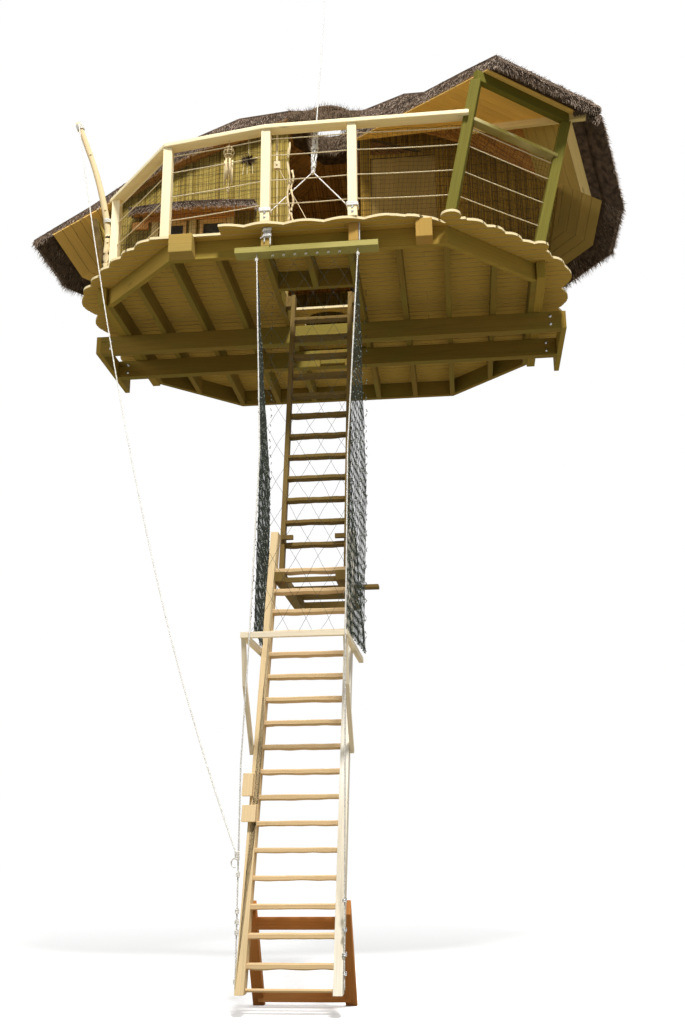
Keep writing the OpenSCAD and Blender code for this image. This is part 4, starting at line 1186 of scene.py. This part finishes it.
def gin_pole():
    stem, wraps = Heap(), Heap()
    path = smoothed(POLE_BENDS, 9)
    size = [POLE_R - POLE_THINNING * i / (len(path) - 1) + 0.004 * noise.noise(Vector((i * 0.4, 0, 3)))
            for i in range(len(path))]
    tube(stem, path, size, 12)
    side = Vector((0.3, -1, 0.25)).normalized()
    for knot in (12, 21, 30):
        tube(stem, [path[knot] + side * 0.02, path[knot] + side * (size[knot] + 0.008)], [0.017, 0.011], 7)
    stem.piece("gin_pole_stem", POLE, "pole_wood", True, ["gin_pole"])
    way = (path[-1] - path[-4]).normalized()
    coils(wraps, path[-1] - way * 0.065, way, 0.038, 5, HAUL_D)
    for z in (0.52, 1.20):
        coils(wraps, (-2.459, -0.888, z), UP, 0.047, 4, 0.012)
    wraps.piece("gin_pole_wraps", ROPE, "white_rope", True)


gin_pole()


# Small things that hang or stand at the railing

CHIME_X, CHIME_Y = -0.82, -1.895
# Radius and height of the chime's basket at its rings, from the top down
BASKET = ((0.006, 1.372), (0.045, 1.345), (0.058, 1.300), (0.045, 1.255), (0.012, 1.225))
BASKET_BOWS = 8
CHIME_CANES = 6


def chime():
    """A basket of bent cane that hangs from the rail, with canes and a clapper on cords under it."""
    cords, canes = Heap(), Heap()
    x, y = CHIME_X, CHIME_Y
    tube(cords, [(x, y, 1.470), (x, y, 1.36)], 0.003, 5)
    for k in range(BASKET_BOWS):
        angle = math.tau * k / BASKET_BOWS
        tube(canes, [(x + math.cos(angle) * r, y + math.sin(angle) * r, z) for r, z in BASKET], 0.004, 5)
    for r, z in BASKET[1:-1]:
        tube(canes, circle_points(Vector((x, y, z)), Vector((r, 0, 0)), Vector((0, r, 0)), 16), 0.0045, 5)
    for k in range(CHIME_CANES):
        angle = math.tau * k / CHIME_CANES
        at = (x + math.cos(angle) * 0.040, y + math.sin(angle) * 0.040)
        tube(cords, [(x, y, 1.245), (*at, 1.19)], 0.002, 4)
        tube(canes, [(*at, 1.20), (*at, 0.90 + 0.05 * (k % 3))], 0.009, 8)
    tube(cords, [(x, y, 1.235), (x, y, 0.86)], 0.002, 4)
    tube(canes, [(x, y, 0.87), (x, y, 0.80)], [0.018, 0.010], 8)
    cords.piece("chime_cords", CORD, "white_rope")
    canes.piece("chime_canes", POLE, "pole_wood", True)


def wavy_sticks():
    """Two twisted sticks that stand on the deck."""
    heap = Heap()
    parts = 16
    # Place, height of the head, thickness, and phase of the waves
    for x, y, top, size, phase in ((-0.165, -1.957, 1.33, 0.013, 0.0), (-0.125, -1.958, 0.98, 0.012, 1.7)):
        path, sizes = [], []
        for k in range(parts + 1):
            sway = (0.012 * math.sin(phase + k * 0.9), -0.004 * math.cos(phase + k * 1.3))
            path.append(Vector((x + sway[0], y + sway[1], deck_top + (top - deck_top) * k / parts)))
            sizes.append(size + 0.003 * math.sin(k * 1.9 + phase))
        tube(heap, path, sizes, 8)
    heap.piece("wavy_sticks", POLE, "pole_wood", True)


def dark_bunch():
    """A bunch of dark twigs that hangs from the rail on a cord, with pale strings below."""
    cords, twigs = Heap(), Heap()
    centre = Vector((-0.60, -1.925, 1.165))
    tube(cords, [(centre.x, centre.y, 1.460), centre], 0.0025, 4)
    for _ in range(260):
        angle = rng.uniform(0, math.tau)
        out = Vector((math.cos(angle), 0.45 * math.sin(angle), rng.uniform(-0.5, 0.5))).normalized()
        twig(twigs, centre + out * 0.01, out, rng.uniform(0.06, 0.10), 0.004)
    for x in (-0.05, -0.01, 0.04):
        tube(cords, [centre + Vector((x, 0, -0.02)), centre + Vector((x * 1.2, 0, -0.17))], 0.003, 4)
    cords.piece("bunch_cords", CORD, "white_rope")
    twigs.piece("bunch_twigs", HEATHER_CORE, "thatch")


chime()
wavy_sticks()
dark_bunch()


# Safety net inside the railing, hung in waves under the rail

# How far the net hangs inside the posts, its cell, and its height over the deck
NET_INSIDE = 0.055
NET_CELL = 0.048
NET_H = 1.095
NET_ROWS, NET_PARTS, NET_CORD_R = 21, 16, 0.0014
# The leaning posts' height, and the way from each one's foot to its head
LEAN_H = 1.680
LEAN = dict(zip(LEANING_FEET, (Vector((0.349, -0.0225, LEAN_H)), Vector((0.412, 0.086, LEAN_H)))))


def railing_net():
    heap = Heap()
    left, right = [*LEFT_POSTS, MIDDLE_POSTS[0]], [MIDDLE_POSTS[1], *LEANING_FEET]
    for number, (a, b) in enumerate([*zip(left, left[1:]), *zip(right, right[1:])]):
        feet = [Vector((*a, deck_top)), Vector((*b, deck_top))]
        rise = [LEAN.get(p, UP * LEAN_H) / LEAN_H for p in (a, b)]
        inward = Vector((-(feet[1] - feet[0]).y, (feet[1] - feet[0]).x, 0)).normalized() * NET_INSIDE

        def at(share, height):
            return (feet[0] + rise[0] * height).lerp(feet[1] + rise[1] * height, share) + inward
        span = (feet[1] - feet[0]).length
        columns = round(span / NET_CELL)
        margin = NET_INSIDE / span

        def top(share):
            wave = 0.030 * abs(math.sin(share * span * 9 + number))
            return NET_H - wave - 0.02 * noise.noise(Vector((share * 9, number, 0)))
        for k in range(columns + 1):
            share = margin + (1 - 2 * margin) * k / columns
            high = top(share)
            path = []
            for h in range(13):
                stray = 0.004 * noise.noise(Vector((k, h * 7, number)))
                path.append(at(share + stray, 0.01 + (high - 0.01) * h / 12))
            tube(heap, path, NET_CORD_R, 3)
        shares = [margin + (1 - 2 * margin) * k / NET_PARTS for k in range(NET_PARTS + 1)]
        for row in range(NET_ROWS + 1):
            path = []
            for share in shares:
                stray = 0.006 * noise.noise(Vector((share * 12, row * 1.7, number)))
                path.append(at(share, 0.02 + (top(share) - 0.02) * row / NET_ROWS + stray))
            tube(heap, path, 0.0025 if row == NET_ROWS else NET_CORD_R, 3)
    heap.piece("railing_net", NET, "net_cord")


railing_net()


# Bolts at the feet of the posts and through the beams' ends

def bolt(heap, place, way, size=0.011):
    """A square-shouldered nut on a washer."""
    place, way = Vector(place), Vector(way).normalized()
    tube(heap, [place - way * 0.003, place + way * 0.003], size * 1.7, 14)
    tube(heap, [place + way * 0.002, place + way * 0.011], size)


def bolts():
    heap = Heap()
    forward = (0, -1, 0)
    for name in ("main_beam_front", "main_beam_back"):
        low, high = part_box(name)
        for x in (low.x + 0.12, high.x - 0.12):
            for z in (low.z + 0.06, high.z - 0.06):
                bolt(heap, (x, low.y, z), forward)
    for x, y in MIDDLE_POSTS:
        for z in (0.40, 0.45):
            bolt(heap, (x, y - POST_HALF, z), forward, 0.008)
    heap.piece("bolts", STEEL, "frame_timber", True)


bolts()


# Boards round the windows, a mat under their canopy, and the plate beam under the hood

def trims():
    warm, pale, reeds, wires = (Heap() for _ in range(4))
    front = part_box("wall_front_left")[0].y - 0.016
    inward = Vector((0, 1, 0))
    edge = 0.003
    stick(warm, (-2.30, front, 1.725), (-1.14, front, 1.725), 0.03, 0.10, edge)
    stick(warm, (-2.33, front, 1.58), (-2.33, front, 1.68), 0.20, 0.03, edge, inward)
    for x in (-1.665, -1.19, -2.14):
        stick(pale, (x, front, 1.22), (x, front, 1.672), 0.085, 0.028, edge, inward)
    stick(pale, (-2.16, front, 1.222), (-1.15, front, 1.222), 0.03, 0.05, edge)
    for normal, triangles in flat_faces("window_canopy", 0.3):
        if normal.z < -0.5:
            reed_plane(reeds, wires, normal, triangles, Vector((1, 0, 0)))
    reeds.piece("canopy_mat", CEILING_REED, "thatch")
    wires.piece("canopy_mat_wires", NET, "thatch")
    hip, peak = Vector((3.130, -1.185, 1.990)), Vector((0.344, -0.200, 2.560))
    drop = Vector((0, 0, -0.050))
    stick(pale, hip.lerp(peak, 0.03) + drop, hip.lerp(peak, 0.50) + drop, 0.055, 0.085, 0.004)
    warm.piece("window_trims", WINDOW, "window_wood")
    pale.piece("pale_trims", FASCIA, "rail_timber")


trims()


# Nets: a lattice of knotted cord in each sheet's place

def net(name, pitch, cord, steep, dots=0.0):
    """Two sets of cords, steep one way and the other, with so great a share of their points knotted."""
    heap, knots = Heap(), Heap()
    done = []
    # Each sheet has two faces, and only the first that is met gets the lattice
    for normal, triangles in flat_faces(name, 0.02):
        if any(abs(normal.dot(n)) > 0.97 and abs(normal.dot(c - triangles[0][0])) < 0.03 for n, c in done):
            continue
        done.append((normal, triangles[0][0]))
        for sign in (-1, 1):
            along = UP * math.sin(steep) + normal.cross(UP) * sign * math.cos(steep)
            for start, end, _ in runs_on(normal, triangles, along, pitch):
                line = []
                for p in resampled([start, end], 0.07):
                    sway = noise.noise_vector(p * 5) * 0.016
                    line.append(p - normal * 0.005 + sway - normal * sway.dot(normal) * 0.5)
                tube(heap, line, cord / 2, 4)
                for p in line:
                    if rng.random() < dots:
                        tube(knots, [p - normal * 0.006, p + normal * 0.006], cord * 1.1)
    heap.piece(name + "_mesh", NET, "net_cord", stands_for=[name])
    if dots:
        knots.piece(name + "_knots", KNOTS, "net_cord", True)


for name in ("net_left", "net_right"):
    net(name, 0.065, 0.006, math.radians(68), 0.25)
net("net_front", 0.18, 0.0028, math.radians(62))


# Studio

# Light from all round, and the lamps: name, place, target, size and power
AMBIENT = 0.40
LAMPS = (
    ("key", (5, -15, 22), (0, -1, -2), 5, 12500),
    ("side_fill", (-14, -6, 4), (0, 0, 0), 8, 700),
    ("back_fill", (4, 16, 12), (0, 0, 0), 8, 1500))
# The floor looks pale to the camera, fades to white outwards, and throws a duller light back
FLOOR_W = 120
FLOOR_SEEN, FLOOR_THROWN = (0.82, 0.82, 0.81), (0.30, 0.28, 0.22)
FADE_FAR, FADE_FROM, FADE_TO = 20.0, 0.12, 0.55


def studio():
    scene = bpy.context.scene
    scene.view_settings.view_transform = "Standard"
    bpy.ops.mesh.primitive_plane_add(size=FLOOR_W, location=(0, 0, ground))
    floor = bpy.context.object
    floor.name = "floor"
    s = Shader("floor_pale", 0.9)
    path = s.node("LightPath")
    seen = s.math("MAXIMUM", path.outputs["Is Camera Ray"], path.outputs["Is Glossy Ray"])
    place = s.node("TexCoord").outputs["Object"]
    away = s.node("VectorMath", {0: place}, operation="LENGTH").outputs["Value"]
    fade = s.ramp(s.math("DIVIDE", away, FADE_FAR), [(FADE_FROM, (0, 0, 0)), (FADE_TO, (1, 1, 1))])
    s.colour(s.mix(seen, FLOOR_THROWN, s.mix(fade, FLOOR_SEEN, (0.0, 0.0, 0.0))))
    s.surface.inputs["Emission Color"].default_value = (1, 1, 1, 1)
    shine = s.math("ADD", s.math("MULTIPLY", fade, 0.72), 0.28)
    s.tree.links.new(s.math("MULTIPLY", seen, shine), s.surface.inputs["Emission Strength"])
    floor.data.materials.append(s.material)
    world = bpy.data.worlds.new("world")
    scene.world = world
    world.use_nodes = True
    tree = world.node_tree
    back = tree.nodes["Background"]
    light = tree.nodes.new("ShaderNodeLightPath")
    most = tree.nodes.new("ShaderNodeMath")
    most.operation = "MAXIMUM"
    tree.links.new(light.outputs["Is Camera Ray"], most.inputs[0])
    tree.links.new(light.outputs["Is Glossy Ray"], most.inputs[1])
    mix = tree.nodes.new("ShaderNodeMath")
    mix.operation = "MULTIPLY_ADD"
    tree.links.new(most.outputs[0], mix.inputs[0])
    mix.inputs[1].default_value = 1 - AMBIENT
    mix.inputs[2].default_value = AMBIENT
    tree.links.new(mix.outputs[0], back.inputs["Strength"])
    back.inputs["Color"].default_value = (1, 1, 1, 1)
    for name, place, target, size, power in LAMPS:
        lamp = bpy.data.lights.new(name, "AREA")
        lamp.shape = "DISK"
        lamp.size = size
        lamp.energy = power
        holder = bpy.data.objects.new(name, lamp)
        holder.location = place
        holder.rotation_euler = (Vector(target) - Vector(place)).to_track_quat("-Z", "Y").to_euler()
        scene.collection.objects.link(holder)


studio()
